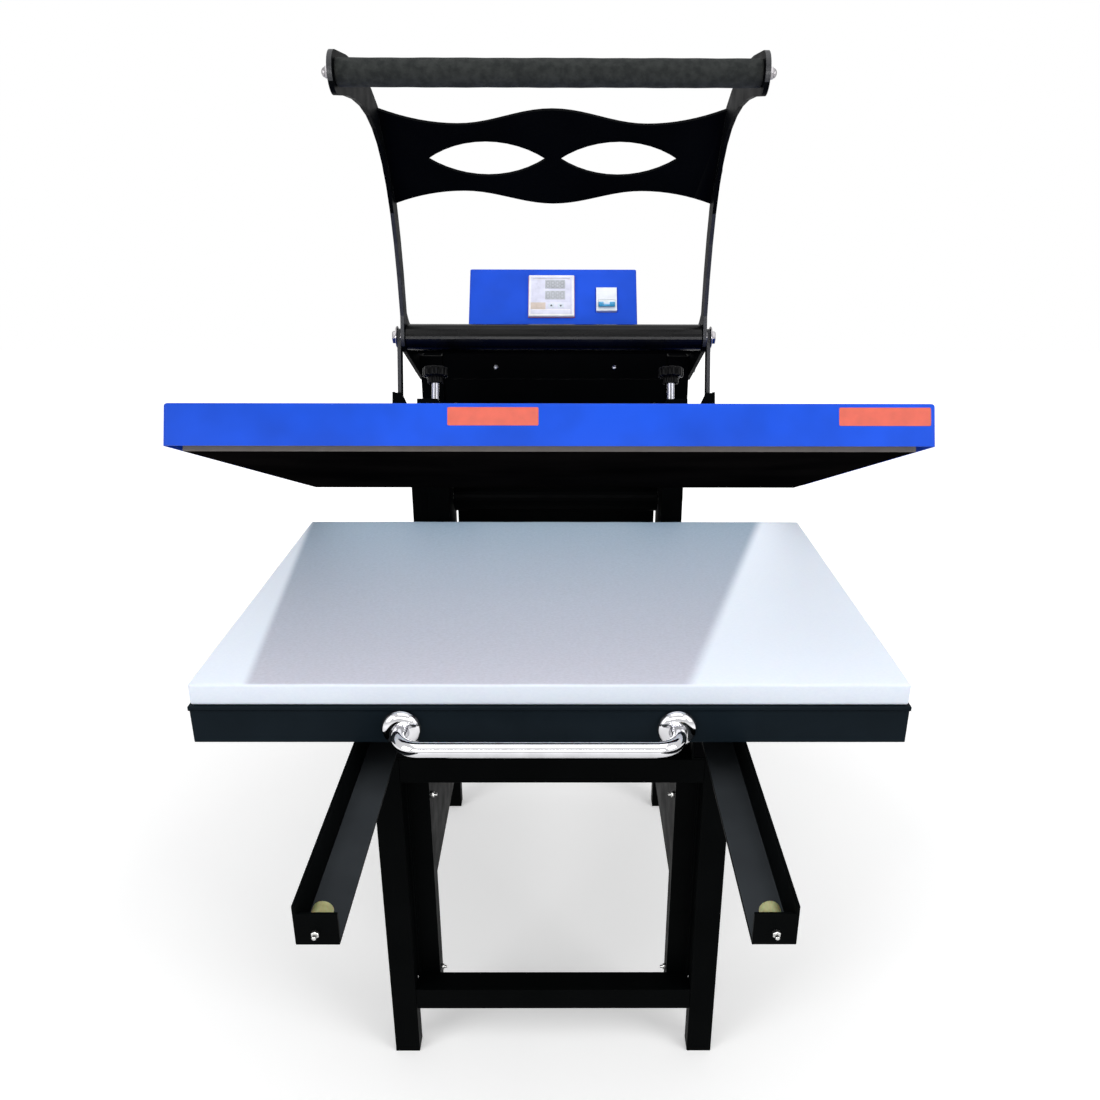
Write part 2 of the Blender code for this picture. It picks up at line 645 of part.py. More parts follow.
def sweep(route, radius, steps):
    """A round tube along a route of points, with closed ends."""
    bm = bmesh.new()
    rings = []
    for i, point in enumerate(route):
        ahead = route[min(i + 1, len(route) - 1)] - route[max(i - 1, 0)]
        along = ahead.normalized()
        side = along.cross(Vector((0, 0, 1))).normalized()
        up = side.cross(along)
        rings.append([bm.verts.new(point + radius * (cos(a) * side + sin(a) * up))
                      for a in [2 * pi * k / steps for k in range(steps)]])
    for first, second in zip(rings, rings[1:]):
        for k in range(steps):
            j = (k + 1) % steps
            bm.faces.new((first[k], first[j], second[j], second[k]))
    bm.faces.new(rings[0])
    bm.faces.new(rings[-1])
    return bm


def grab_handle():
    """A bent chrome tube with a domed flange at each end, on the front of the bed frame."""
    wall_y = BED_FRONT_Y - GAP
    z = PAD_TOP - HANDLE_UNDER_PAD
    handle = sweep(handle_route(HANDLE_SHIFT, z, wall_y), HANDLE_TUBE_RADIUS, 20)
    dome_steps = 4
    for side in (-1, 1):
        x = HANDLE_SHIFT + side * HANDLE_SPAN / 2
        dome = [(FLANGE_RADIUS, wall_y), (FLANGE_RADIUS, wall_y - EDGE)]
        for i in range(1, dome_steps + 1):
            a = pi / 2 * i / dome_steps
            dome.append((HANDLE_TUBE_RADIUS / 2 + (FLANGE_RADIUS - HANDLE_TUBE_RADIUS / 2) * cos(a),
                         wall_y - EDGE - (FLANGE_THICK - EDGE) * sin(a)))
        handle = fuse(handle, turned(dome, "Y", x, z, 32))
    make("grab_handle", handle, CHROME)


# Mast with its two shafts

def cable_duct():
    """A folded duct, open at its ends, on the outer side of the left post."""
    outer = -MAST_X - DUCT_WIDTH
    inner = -MAST_X + SHEET / 2
    back = DUCT_FRONT_Y + DUCT_DEPTH
    section = [(outer, DUCT_FRONT_Y), (inner, DUCT_FRONT_Y), (inner, DUCT_FRONT_Y + DUCT_WALL),
               (outer + DUCT_WALL, DUCT_FRONT_Y + DUCT_WALL), (outer + DUCT_WALL, back - DUCT_WALL),
               (inner, back - DUCT_WALL), (inner, back), (outer, back)]
    return prism(section, "Z", MAST_BOTTOM + GAP, MAST_BOTTOM + DUCT_HEIGHT)


def mast():
    for label, side in SIDES_LEFT_RIGHT:
        low, high = sorted((side * MAST_INNER_X, side * MAST_X))
        post = square_tube("Z", low, high, MAST_FRONT_Y, MAST_BACK_Y, MAST_BOTTOM, MAST_TOP, SHEET)
        for centre, radius in ((M, LEVER_SHAFT_RADIUS), (H, HINGE_SHAFT_RADIUS)):
            post = cut(post, rod(radius + GAP, "X", centre.y, centre.z, low - OVERRUN, high + OVERRUN))
        if side < 0:
            post = fuse(post, cable_duct())
        make("mast_post_" + label, post, BLACK_STEEL, smooth=False)
    lever_half = ARM_OUTER_X + SHAFT_END
    hinge_half = MAST_X + SHAFT_END
    for name, centre, radius, half in (("lever_shaft", M, LEVER_SHAFT_RADIUS, lever_half),
                                       ("hinge_shaft", H, HINGE_SHAFT_RADIUS, hinge_half)):
        ends = [(radius - EDGE, -half), (radius, -half + EDGE), (radius, half - EDGE), (radius - EDGE, half)]
        make(name, turned(ends, "X", centre.y, centre.z, 24), ZINC)
    half = MAST_INNER_X - GAP
    panel_bottom = PAD_TOP + MAST_PANEL_BOTTOM_OVER_PAD
    panel_top = panel_bottom + MAST_PANEL_HEIGHT
    cover_bottom = panel_top + GAP
    for name, bottom, top, flange in (("mast_panel", panel_bottom, panel_top, MAST_PANEL_FLANGE),
                                      ("shaft_cover", cover_bottom, cover_bottom + SHAFT_COVER_HEIGHT,
                                       SHAFT_COVER_FLANGE)):
        front = MAST_FRONT_Y + SHEET
        channel = [(-half, front), (half, front), (half, front + flange), (half - SHEET, front + flange),
                   (half - SHEET, front + SHEET), (-half + SHEET, front + SHEET), (-half + SHEET, front + flange),
                   (-half, front + flange)]
        make(name, prism(channel, "Z", bottom, top), BLACK_STEEL, smooth=False)


# Upper platen: every piece is built closed and hangs on the tilted hinge

def hinge_empty():
    pivot = bpy.data.objects.new("platen_hinge", None)
    bpy.context.collection.objects.link(pivot)
    pivot.location = H
    pivot.rotation_euler = (-OPEN_ANGLE, 0, 0)
    pivot["home"] = tuple(H)
    return pivot


def platen(pivot):
    half = PAD_WIDTH / 2
    back = PLATEN_FRONT_Y + PAD_DEPTH
    plate_top = PLATE_BOTTOM + HEATER_THICK
    ceiling = COVER_TOP - COVER_SHEET
    plate = box(-half, half, PLATEN_FRONT_Y, back, PLATE_BOTTOM, plate_top)
    for x in (-half / 2, half / 2):
        for y in (PLATEN_FRONT_Y + PAD_DEPTH / 4, back - PAD_DEPTH / 4):
            plate = fuse(plate, rod(HEATER_BOSS_RADIUS, "Z", x, y, plate_top - SHEET, ceiling - GAP, 16))
    make("heater_plate", plate, HEATER, parent=pivot, origin=H, smooth=False)
    cover_half = half + COVER_MARGIN
    front = PLATEN_FRONT_Y - COVER_MARGIN
    rear = back + COVER_BACK_MARGIN
    cover = box(-cover_half, cover_half, front, rear, COVER_BOTTOM, COVER_TOP, EDGE)
    cover = cut(cover, box(-cover_half + COVER_SHEET, cover_half - COVER_SHEET, front + COVER_SHEET,
                           rear - COVER_SHEET, COVER_BOTTOM - OVERRUN, ceiling))
    make("platen_cover", cover, BLUE_STEEL, parent=pivot, origin=H, smooth=False)
    lift_frame(pivot)
    for label, side in SIDES_LEFT_RIGHT:
        link_bracket(pivot, label, side)
        pressure_screw(pivot, label, side)


def lift_frame(pivot):
    """The hinge sleeve, two cranked arms over the cover and the tie between them."""
    sleeve_half = MAST_INNER_X - SLEEVE_SIDE_GAP
    frame = rod(SLEEVE_RADIUS, "X", H.y, H.z, -sleeve_half, sleeve_half, 32)
    crank = PLATEN_FRONT_Y + PAD_DEPTH + COVER_BACK_MARGIN + LIFT_ARM_BACK_LEG
    outline = [(LIFT_ARM_FRONT_Y, LIFT_BOTTOM), (crank, LIFT_BOTTOM), (H.y - SLEEVE_RADIUS / 2, H.z),
               (H.y + SLEEVE_RADIUS / 2, H.z), (H.y + SLEEVE_RADIUS * 3 / 4, H.z + SLEEVE_RADIUS / 2),
               (H.y, LIFT_TOP), (LIFT_ARM_FRONT_Y, LIFT_TOP)]
    for side in (-1, 1):
        arm = side_prism(side, outline, LIFT_ARM_X - LIFT_ARM_WIDTH / 2, LIFT_ARM_X + LIFT_ARM_WIDTH / 2)
        frame = fuse(frame, arm)
    tie = box(-TIE_REACH, TIE_REACH, Q.y - TIE_DEPTH / 2, Q.y + TIE_DEPTH / 2, LIFT_BOTTOM + SHEET,
              LIFT_TOP - SHEET)
    frame = fuse(frame, tie)
    frame = cut(frame, rod(HINGE_SHAFT_RADIUS + GAP, "X", H.y, H.z, -sleeve_half - OVERRUN,
                           sleeve_half + OVERRUN))
    for side in (-1, 1):
        frame = cut(frame, rod(SCREW_RADIUS + GAP, "Z", side * LIFT_ARM_X, PLATE_MIDDLE_Y, LIFT_BOTTOM - OVERRUN,
                               LIFT_TOP + OVERRUN, 20))
    make("lift_frame", frame, BLACK_STEEL, parent=pivot, origin=H)


def link_bracket(pivot, label, side):
    """A bracket on the end of the tie: a plate outside the link's foot, a web before it, a low wall inside."""
    inner = TIE_REACH + GAP
    plate_inner = LINK_OUTER_X + FORK_SIDE_GAP
    outer = plate_inner + FORK_OUTER_THICK
    middle = (plate_inner + outer) / 2
    front = Q.y - FORK_WEB_BEFORE_FOOT
    back = Q.y + FORK_BASE_DEPTH / 2
    top = Q.z + FORK_TOP_OVER_FOOT
    plate = [(front, LIFT_BOTTOM), (back, LIFT_BOTTOM), (back, LIFT_TOP), (Q.y + FORK_TOP_BEHIND_FOOT, top),
             (front, top)]
    fork = side_prism(side, plate, plate_inner, outer)
    web_inner = inner + EDGE
    web_bottom = LIFT_BOTTOM + EDGE * 2
    web_top = top - EDGE
    web = [(web_inner, web_bottom), (middle, web_bottom), (middle, web_top),
           (web_inner + FORK_SLANT_WIDTH, web_top), (web_inner, web_top - FORK_SLANT_HEIGHT)]
    fork = fuse(fork, prism([(side * x, z) for x, z in web], "Y", front + EDGE, front + EDGE + SHEET))
    fork = fuse(fork, side_box(side, inner, inner + FORK_INNER_THICK, front + EDGE * 2, back, LIFT_BOTTOM,
                               LIFT_TOP - SHEET))
    fork = fuse(fork, side_box(side, inner + SHEET, middle, front + EDGE + SHEET / 2, back - SHEET,
                               LIFT_BOTTOM + EDGE, LIFT_BOTTOM + FORK_BASE_THICK))
    make("link_bracket_" + label, fork, BLACK_STEEL, parent=pivot, origin=H)


def pressure_screw(pivot, label, side):
    """A screw with a foot on the cover, turned by a fluted knob above the lift arm."""
    x = side * LIFT_ARM_X
    y = PLATE_MIDDLE_Y
    foot = COVER_TOP + GAP
    knob_top = LIFT_TOP + KNOB_TOP_OVER_ARM
    knob_bottom = knob_top - KNOB_HEIGHT - KNOB_CONE_HEIGHT
    screw_top = knob_bottom + SCREW_IN_KNOB
    axis = Vector((x, y, foot))
    shank = [(SCREW_FOOT_RADIUS, foot), (SCREW_FOOT_RADIUS, foot + SCREW_FOOT_THICK),
             (SCREW_RADIUS, foot + SCREW_FOOT_THICK), (SCREW_RADIUS, screw_top)]
    make("pressure_screw_" + label, turned(shank, "Z", x, y, 20), CHROME, parent=pivot, origin=axis)
    rim = []
    for i in range(KNOB_LOBES * 6):
        turn = 2 * pi * i / (KNOB_LOBES * 6)
        r = KNOB_RADIUS - KNOB_FLUTE_DEPTH * (1 - abs(cos(KNOB_LOBES * turn / 2)))
        rim.append((x + r * cos(turn), y + r * sin(turn)))
    knob = prism(rim, "Z", knob_bottom + KNOB_CONE_HEIGHT, knob_top)
    cone = [(KNOB_CONE_RADIUS, knob_bottom),
            (KNOB_CONE_RADIUS + KNOB_FLUTE_DEPTH, knob_bottom + KNOB_CONE_HEIGHT + KNOB_HEIGHT / 2)]
    knob = fuse(knob, turned(cone, "Z", x, y, 24))
    knob = cut(knob, rod(SCREW_RADIUS + GAP, "Z", x, y, knob_bottom - OVERRUN, screw_top + GAP, 20))
    make("knob_" + label, knob, KNOB_PLASTIC, parent=pivot, origin=axis)


# Lever with its links

def arm_outline():
    """A swan-necked plate: an eye round the grip, a curved neck, a shank and a leg back to the lever shaft."""
    reach = B.y - G.y
    rise = G.z - B.z
    shank = ARM_SHANK_WIDTH / 2
    shank_z = B.z + ARM_SHANK_START

    def on_neck(share):
        return G.y + share[0] * reach, G.z + share[1] * rise

    lower = [on_neck(share) for share in ARM_LOWER_EDGE_SHARES]
    upper = [on_neck(share) for share in ARM_UPPER_EDGE_SHARES]
    points = arc(G.y, G.z, GRIP_EYE_RADIUS, 90, 270, 20)
    points += bezier(points.pop(), *lower, (B.y - shank, shank_z), 12)
    points += [(B.y - shank, shank_z)]
    lean = degrees(atan2(B.z - M.z, M.y - B.y))
    points += arc(B.y, B.z, ARM_EYE_RADIUS, 180, 270 - lean, 7)
    points += arc(M.y, M.z, ARM_EYE_RADIUS, 270 - lean, 450 - lean, 12)
    points += [(B.y + shank + (ARM_EYE_RADIUS - shank) * 2, B.z + ARM_EYE_RADIUS - (ARM_EYE_RADIUS - shank) / 2)]
    points += bezier((B.y + shank, shank_z), upper[1], upper[0], (G.y, G.z + GRIP_EYE_RADIUS), 12)
    return points


def lever():
    outline = arm_outline()
    for label, side in SIDES_LEFT_RIGHT:
        arm = side_prism(side, outline, ARM_INNER_X, ARM_OUTER_X)
        for centre, radius in ((M, LEVER_SHAFT_RADIUS), (B, PIVOT_BOLT_RADIUS), (G, GRIP_BAR_STUD)):
            low, high = sorted((side * (ARM_INNER_X - OVERRUN), side * (ARM_OUTER_X + OVERRUN)))
            arm = cut(arm, rod(radius + GAP, "X", centre.y, centre.z, low, high))
        make("lever_arm_" + label, arm, BLACK_STEEL, origin=M)
        link(label, side)
        pivot_bolt(label, side)
    half = ARM_INNER_X - GAP
    bore = PIVOT_BOLT_RADIUS + GAP
    chamfer = TORQUE_TUBE_RADIUS - EDGE
    tube = [(bore, -half), (chamfer, -half), (TORQUE_TUBE_RADIUS, -half + EDGE),
            (TORQUE_TUBE_RADIUS, half - EDGE), (chamfer, half), (bore, half)]
    make("torque_tube", turned_ring(tube, "X", B.y, B.z, 32), BLACK_STEEL, origin=M)
    bar_end = ARM_OUTER_X + EDGE
    bar = [(GRIP_BAR_STUD, -bar_end), (GRIP_BAR_STUD, -half), (GRIP_BAR_RADIUS, -half), (GRIP_BAR_RADIUS, half),
           (GRIP_BAR_STUD, half), (GRIP_BAR_STUD, bar_end)]
    make("grip_bar", turned(bar, "X", G.y, G.z, 20), BLACK_STEEL, origin=M)
    foam = [(GRIP_BORE, -half), (GRIP_RADIUS - EDGE, -half), (GRIP_RADIUS, -half + EDGE),
            (GRIP_RADIUS, half - EDGE), (GRIP_RADIUS - EDGE, half), (GRIP_BORE, half)]
    make("grip_sleeve", turned_ring(foam, "X", G.y, G.z, 28), FOAM, origin=M)
    cross_plate(half)
    hood(half)


def hood(half):
    """A folded sheet along the top of the arms' legs, from behind the torque tube to short of the mast."""
    lean = atan2(B.z - M.z, M.y - B.y)
    length = (B - M).length
    top = ARM_EYE_RADIUS
    start = HOOD_END_CLEARANCE
    end = length - TORQUE_TUBE_RADIUS - RUN_GAP
    under = top - HOOD_SHEET
    section = [(-start, top), (-start, under - HOOD_LIP), (-start - HOOD_SHEET, under - HOOD_LIP),
               (-start - HOOD_SHEET, under), (-end, under), (-end, top)]
    sheet = prism([(M.y + u, M.z + v) for u, v in section], "X", -half, half)
    make("hood", turn_about(sheet, M, -lean), BLACK_STEEL, origin=M, smooth=False)


def cross_plate(half):
    """The plate between the necks: waved long edges and two pointed windows."""
    middle_y = M.y - CROSS_BOTTOM_BEFORE_SHAFT - CROSS_RUN / 2
    middle_z = PAD_TOP + (CROSS_BOTTOM_OVER_PAD + CROSS_TOP_OVER_PAD) / 2
    rise = CROSS_TOP_OVER_PAD - CROSS_BOTTOM_OVER_PAD
    tall = hypot(CROSS_RUN, rise)
    lean = atan2(CROSS_RUN, rise)
    steps = 36

    def wave(x):
        """Nought at the middle and the ends, one at the dips between them."""
        if abs(x) < CROSS_DIP_X:
            return (1 - cos(pi * x / CROSS_DIP_X)) / 2
        return 1 - ((abs(x) - CROSS_DIP_X) / (half - CROSS_DIP_X)) ** 2

    runs = [-half + 2 * half * i / steps for i in range(steps + 1)]
    edge = [(x, middle_z + tall / 2 - CROSS_DIP * wave(x)) for x in runs]
    edge += [(x, middle_z - tall / 2 + CROSS_RISE * wave(x)) for x in reversed(runs)]
    plate = prism(edge, "Y", middle_y - CROSS_THICK / 2, middle_y + CROSS_THICK / 2)
    width = LENS_OUTER_X - LENS_INNER_X
    sagitta = LENS_HEIGHT / 2
    radius = (width * width / 4 + sagitta * sagitta) / (2 * sagitta)
    spread = degrees(acos((radius - sagitta) / radius))
    for side in (-1, 1):
        x = side * (LENS_INNER_X + LENS_OUTER_X) / 2
        lens = arc(x, middle_z - radius + sagitta, radius, 90 - spread, 90 + spread, 12)[:-1]
        lens += arc(x, middle_z + radius - sagitta, radius, 270 - spread, 270 + spread, 12)[:-1]
        plate = cut(plate, prism(lens, "Y", middle_y - CROSS_THICK, middle_y + CROSS_THICK))
    centre = Vector((0, middle_y, middle_z))
    make("cross_plate", turn_about(plate, centre, lean), BLACK_STEEL, origin=M)


def link(label, side):
    foot = opened(Q)
    run = foot - B
    length = run.length
    half = LINK_WIDTH / 2
    spread = degrees(acos(half / LINK_EYE_RADIUS))
    outline = arc(B.y, B.z, LINK_EYE_RADIUS, spread, 180 - spread, 10)
    outline += arc(B.y, B.z - length, LINK_EYE_RADIUS, 180 + spread, 360 - spread, 10)
    bar = side_prism(side, outline, LINK_INNER_X, LINK_OUTER_X)
    low, high = sorted((side * (LINK_INNER_X - OVERRUN), side * (LINK_OUTER_X + OVERRUN)))
    bar = cut(bar, rod(PIVOT_BOLT_RADIUS + GAP, "X", B.y, B.z, low, high))
    lean = atan2(-run.y, -run.z)
    make("link_" + label, turn_about(bar, B, -lean), BLACK_STEEL, origin=B)


def pivot_bolt(label, side):
    """The bolt that joins link, arm and torque tube, with its head outside the link."""
    head = LINK_OUTER_X + GAP
    bolt = [(PIVOT_BOLT_RADIUS, side * (ARM_INNER_X - PIVOT_BOLT_DEPTH)), (PIVOT_BOLT_RADIUS, side * head),
            (PIVOT_HEAD_RADIUS, side * head), (PIVOT_HEAD_RADIUS, side * (head + PIVOT_HEAD_THICK - EDGE)),
            (PIVOT_HEAD_RADIUS - EDGE, side * (head + PIVOT_HEAD_THICK))]
    make("pivot_bolt_" + label, turned(bolt, "X", B.y, B.z, 24), ZINC, origin=M)


# Control box with its meter and breaker, built upright and leaned back with the panel

def panel_frame(bm):
    """Takes (x, depth, height up the panel) from an upright panel at the origin to the leaning one."""
    turn_about(bm, Vector((0, 0, 0)), -PANEL_LEAN)
    bmesh.ops.translate(bm, verts=bm.verts, vec=Vector((0, BOX_FRONT_Y, BOX_BOTTOM)))
    return bm


def panel_point(x, depth, up):
    return Matrix.Rotation(-PANEL_LEAN, 3, "X") @ Vector((x, depth, up)) + Vector((0, BOX_FRONT_Y, BOX_BOTTOM))


def upright(x, up, half_width, half_height, front, back, edge=0.0):
    return box(x - half_width, x + half_width, front, back, up - half_height, up + half_height, edge)


def control_box():
    low = BOX_X - BOX_WIDTH / 2
    high = BOX_X + BOX_WIDTH / 2
    outline = [(BOX_FRONT_Y, BOX_BOTTOM), (BOX_BACK_Y, BOX_BOTTOM), (BOX_BACK_Y, BOX_TOP - BOX_TOP_FALL),
               (PANEL_TOP_Y, BOX_TOP)]
    housing = prism(outline, "X", low, high)
    pockets = ((METER_X, METER_UP_PANEL, METER_BODY / 2, METER_BODY / 2, METER_BODY_DEPTH),
               (BREAKER_X, BREAKER_UP_PANEL, BREAKER_WIDTH / 2, BREAKER_HEIGHT / 2, BREAKER_DEPTH))
    for x, up, half_width, half_height, depth in pockets:
        pocket = upright(x, up, half_width + GAP, half_height + GAP, -OVERRUN, depth + GAP)
        housing = cut(housing, panel_frame(pocket))
    make("control_box", housing, BLUE_STEEL, smooth=False)
    meter()
    breaker()
    box_bracket()


def meter():
    bezel = upright(METER_X, METER_UP_PANEL, METER_SIZE / 2, METER_SIZE / 2, -GAP - METER_BEZEL, -GAP, EDGE)
    body = upright(METER_X, METER_UP_PANEL, METER_BODY / 2, METER_BODY / 2, -GAP - METER_BEZEL / 2,
                   METER_BODY_DEPTH)
    case = fuse(bezel, body)
    front = -GAP - METER_BEZEL
    screen_top = METER_SIZE / 2 - METER_SCREEN_MARGIN
    screen_bottom = -METER_SIZE / 2 + METER_SCREEN_MARGIN / 2 + METER_STRIP_HEIGHT
    screen = upright(METER_X, METER_UP_PANEL + (screen_top + screen_bottom) / 2, screen_top,
                     (screen_top - screen_bottom) / 2, front - OVERRUN, front + METER_SCREEN_DEPTH)
    case = cut(case, screen)
    for x in BUTTON_X:
        well = upright(x, METER_UP_PANEL + BUTTON_UP, BUTTON_WIDTH / 2 + GAP, BUTTON_HEIGHT / 2 + GAP,
                       front - OVERRUN, front + BUTTON_LENGTH - BUTTON_PROUD + BUTTON_TRAVEL + GAP)
        case = cut(case, well)
    make("meter", panel_frame(case), METER_PLASTIC, smooth=False)
    for name, x in zip(("button_set", "button_up", "button_down"), BUTTON_X):
        key = upright(x, METER_UP_PANEL + BUTTON_UP, BUTTON_WIDTH / 2, BUTTON_HEIGHT / 2, front - BUTTON_PROUD,
                      front - BUTTON_PROUD + BUTTON_LENGTH)
        make(name, panel_frame(key), BUTTON_PLASTIC, origin=panel_point(x, front, METER_UP_PANEL + BUTTON_UP),
             smooth=False)


def breaker():
    up = BREAKER_UP_PANEL
    body = upright(BREAKER_X, up, BREAKER_WIDTH / 2, BREAKER_HEIGHT / 2, -BREAKER_PROUD, BREAKER_DEPTH)
    axis_up = up + TOGGLE_UP
    axis_depth = -BREAKER_PROUD + TOGGLE_RADIUS / 2
    half = TOGGLE_WIDTH / 2
    slot = rod(TOGGLE_RADIUS + RUN_GAP, "X", axis_depth, axis_up, BREAKER_X - half - RUN_GAP,
               BREAKER_X + half + RUN_GAP, 24)
    make("breaker", panel_frame(cut(body, slot)), BREAKER_PLASTIC, smooth=False)
    drum = rod(TOGGLE_RADIUS, "X", axis_depth, axis_up, BREAKER_X - half, BREAKER_X + half, 24)
    blade = box(BREAKER_X - half, BREAKER_X + half, axis_depth - TOGGLE_LEVER, axis_depth,
                axis_up - TOGGLE_LEVER_THICK / 2, axis_up + TOGGLE_LEVER_THICK / 2)
    turn_about(blade, Vector((BREAKER_X, axis_depth, axis_up)), TOGGLE_REST)
    toggle = panel_frame(fuse(drum, blade))
    make("breaker_toggle", toggle, TOGGLE_PLASTIC, origin=panel_point(BREAKER_X, axis_depth, axis_up))


def box_bracket():
    """A folded strap between the posts, with a bridge in its middle that carries the control box."""
    half = MAST_INNER_X - GAP
    bridge = BOX_BRACKET_BRIDGE_X
    top = BOX_BOTTOM - GAP
    bottom = MAST_TOP - BOX_BRACKET_GRIP
    sheet = BOX_BRACKET_SHEET
    tab = bottom + BOX_BRACKET_TAB
    right = [(bridge - sheet, top - sheet), (bridge - sheet, bottom), (half, bottom), (half, tab),
             (half - sheet, tab), (half - sheet, bottom + sheet), (bridge, bottom + sheet), (bridge, top)]
    strap = right + [(-x, z) for x, z in reversed(right)]
    back = MAST_BACK_Y - SHEET
    make("box_bracket", prism(strap, "Y", back - BOX_BRACKET_DEPTH, back), BLACK_STEEL, smooth=False)


def press_geometry():
    """The lever's turn from open to closed, and the turns of platen and links that go with it."""
    foot_open = opened(Q)
    link_length = (foot_open - B).length
    crank = (B - M).length
    span = (Q - M).length
    knee = acos((crank ** 2 + span ** 2 - link_length ** 2) / (2 * crank * span))
    closed_angle = atan2(Q.z - M.z, M.y - Q.y) + knee
    lever_turn = atan2(B.z - M.z, M.y - B.y) - closed_angle
    knee_closed = M + Matrix.Rotation(lever_turn, 3, "X") @ (B - M)
    first = atan2(foot_open.z - B.z, foot_open.y - B.y)
    last = atan2(Q.z - knee_closed.z, Q.y - knee_closed.y)
    link_turn = last - first - lever_turn
    return lever_turn, link_turn


def centre_on_floor():
    """Moves the whole press so that the middle of its overall box is over the origin."""
    for obj in bpy.data.objects:
        if obj.parent is None:
            obj.location.y -= MIDDLE_Y


stand()
drawer_rails()
drawer()
mast()
platen(hinge_empty())
lever()
control_box()
centre_on_floor()
bpy.context.view_layer.update()
LEVER_TURN, LINK_TURN = press_geometry()
print("lever turn", round(degrees(LEVER_TURN), 3), "link turn", round(degrees(LINK_TURN), 3),
      "platen ratio", round(OPEN_ANGLE / LEVER_TURN, 5), "link ratio", round(LINK_TURN / LEVER_TURN, 5))
meshes = [obj.data for obj in bpy.data.objects if obj.type == "MESH"]
print("pieces", len(meshes), "triangles", sum(len(face.vertices) - 2 for mesh in meshes for face in mesh.polygons))
places = (("lever shaft", M), ("hinge", H), ("link pivot", B), ("grip", G), ("link foot", opened(Q)))
for name, point in places:
    print(name, [round(value, 5) for value in point - Vector((0, MIDDLE_Y, 0))])
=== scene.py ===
# %% [markdown]
# This lesson dresses a clamshell heat press: a stand of steel tube, a white silicone pad on a
# bed that rolls out, a blue heated platen tilted up on its hinge, and a long lever with a waved
# cross plate. The CAD model gives every place and size. Here the edges get their roundness, the
# small fasteners are added, and each surface gets a finish.

# %% Load the measured model
from math import atan2, cos, pi, radians, sin

import bmesh
import bpy
from mathutils import Matrix, Vector


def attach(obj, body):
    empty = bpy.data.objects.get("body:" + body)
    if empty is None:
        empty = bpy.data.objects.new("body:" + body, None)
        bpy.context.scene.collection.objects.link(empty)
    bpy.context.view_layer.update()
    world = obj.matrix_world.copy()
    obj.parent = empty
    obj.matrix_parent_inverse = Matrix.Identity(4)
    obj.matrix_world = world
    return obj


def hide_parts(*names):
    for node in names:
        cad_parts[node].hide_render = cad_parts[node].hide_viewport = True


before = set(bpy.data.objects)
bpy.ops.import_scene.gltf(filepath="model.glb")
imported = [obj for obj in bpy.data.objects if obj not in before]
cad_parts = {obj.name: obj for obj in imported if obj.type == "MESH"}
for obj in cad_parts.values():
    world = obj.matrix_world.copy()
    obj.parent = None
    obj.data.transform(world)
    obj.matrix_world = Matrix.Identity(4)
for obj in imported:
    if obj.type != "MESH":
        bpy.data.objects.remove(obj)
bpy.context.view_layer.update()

# %% [markdown]
# The photograph was taken from in front, a little above, with a fairly wide lens. A camera is
# three things: where it stands, which way it looks and how wide it sees. The lens length follows
# from the focal length in pixels: on a 36 mm wide sensor it is focal / width x 36. The small
# shift moves the picture's middle without turning the camera, so uprights keep their lean.

# %% Camera
PHOTO_SIZE = 1100
FOCAL_PIXELS = 916.4
PICTURE_MIDDLE = (567.99, 537.86)
CAMERA_PLACE = Vector((0.01855, -1.2658, 1.3474))
CAMERA_YAW, CAMERA_PITCH, CAMERA_ROLL = radians(0.206), radians(20.745), radians(0.122)
SENSOR = 36.0
CLIP_START = 0.02


def aim_camera():
    ahead = Vector((sin(CAMERA_YAW) * cos(CAMERA_PITCH), cos(CAMERA_YAW) * cos(CAMERA_PITCH),
                    -sin(CAMERA_PITCH)))
    level_right = Vector((cos(CAMERA_YAW), -sin(CAMERA_YAW), 0))
    level_up = level_right.cross(ahead)
    right = cos(CAMERA_ROLL) * level_right + sin(CAMERA_ROLL) * level_up
    up = -sin(CAMERA_ROLL) * level_right + cos(CAMERA_ROLL) * level_up
    turn = Matrix((right, up, -ahead)).transposed().to_4x4()
    return Matrix.Translation(CAMERA_PLACE) @ turn


eye = bpy.data.cameras.new("camera")
eye.sensor_width = SENSOR
eye.lens = FOCAL_PIXELS / PHOTO_SIZE * SENSOR
eye.shift_x = 0.5 - PICTURE_MIDDLE[0] / PHOTO_SIZE
eye.shift_y = PICTURE_MIDDLE[1] / PHOTO_SIZE - 0.5
eye.clip_start = CLIP_START
camera = bpy.data.objects.new("camera", eye)
bpy.context.collection.objects.link(camera)
camera.matrix_world = aim_camera()
bpy.context.scene.camera = camera
bpy.context.scene.view_settings.view_transform = "Standard"
print("lens", round(eye.lens, 2), "mm")

# %% [markdown]
# The press stands in front of plain white. The floor and the world are white only to the
# camera, to mirrors and to glass, through Light Path. The floor glows less near the press, so a
# soft shadow stays. The press is lit by three large soft lamps and a dim world, so black paint
# stays black and still shows where its edges turn. A long strip in front is there for shiny
# things only: it draws the grey line along round tubes. The pad lies in the shade of the open
# platen, so a photographer slides a white card in there: here it is a weak lamp that no camera sees.

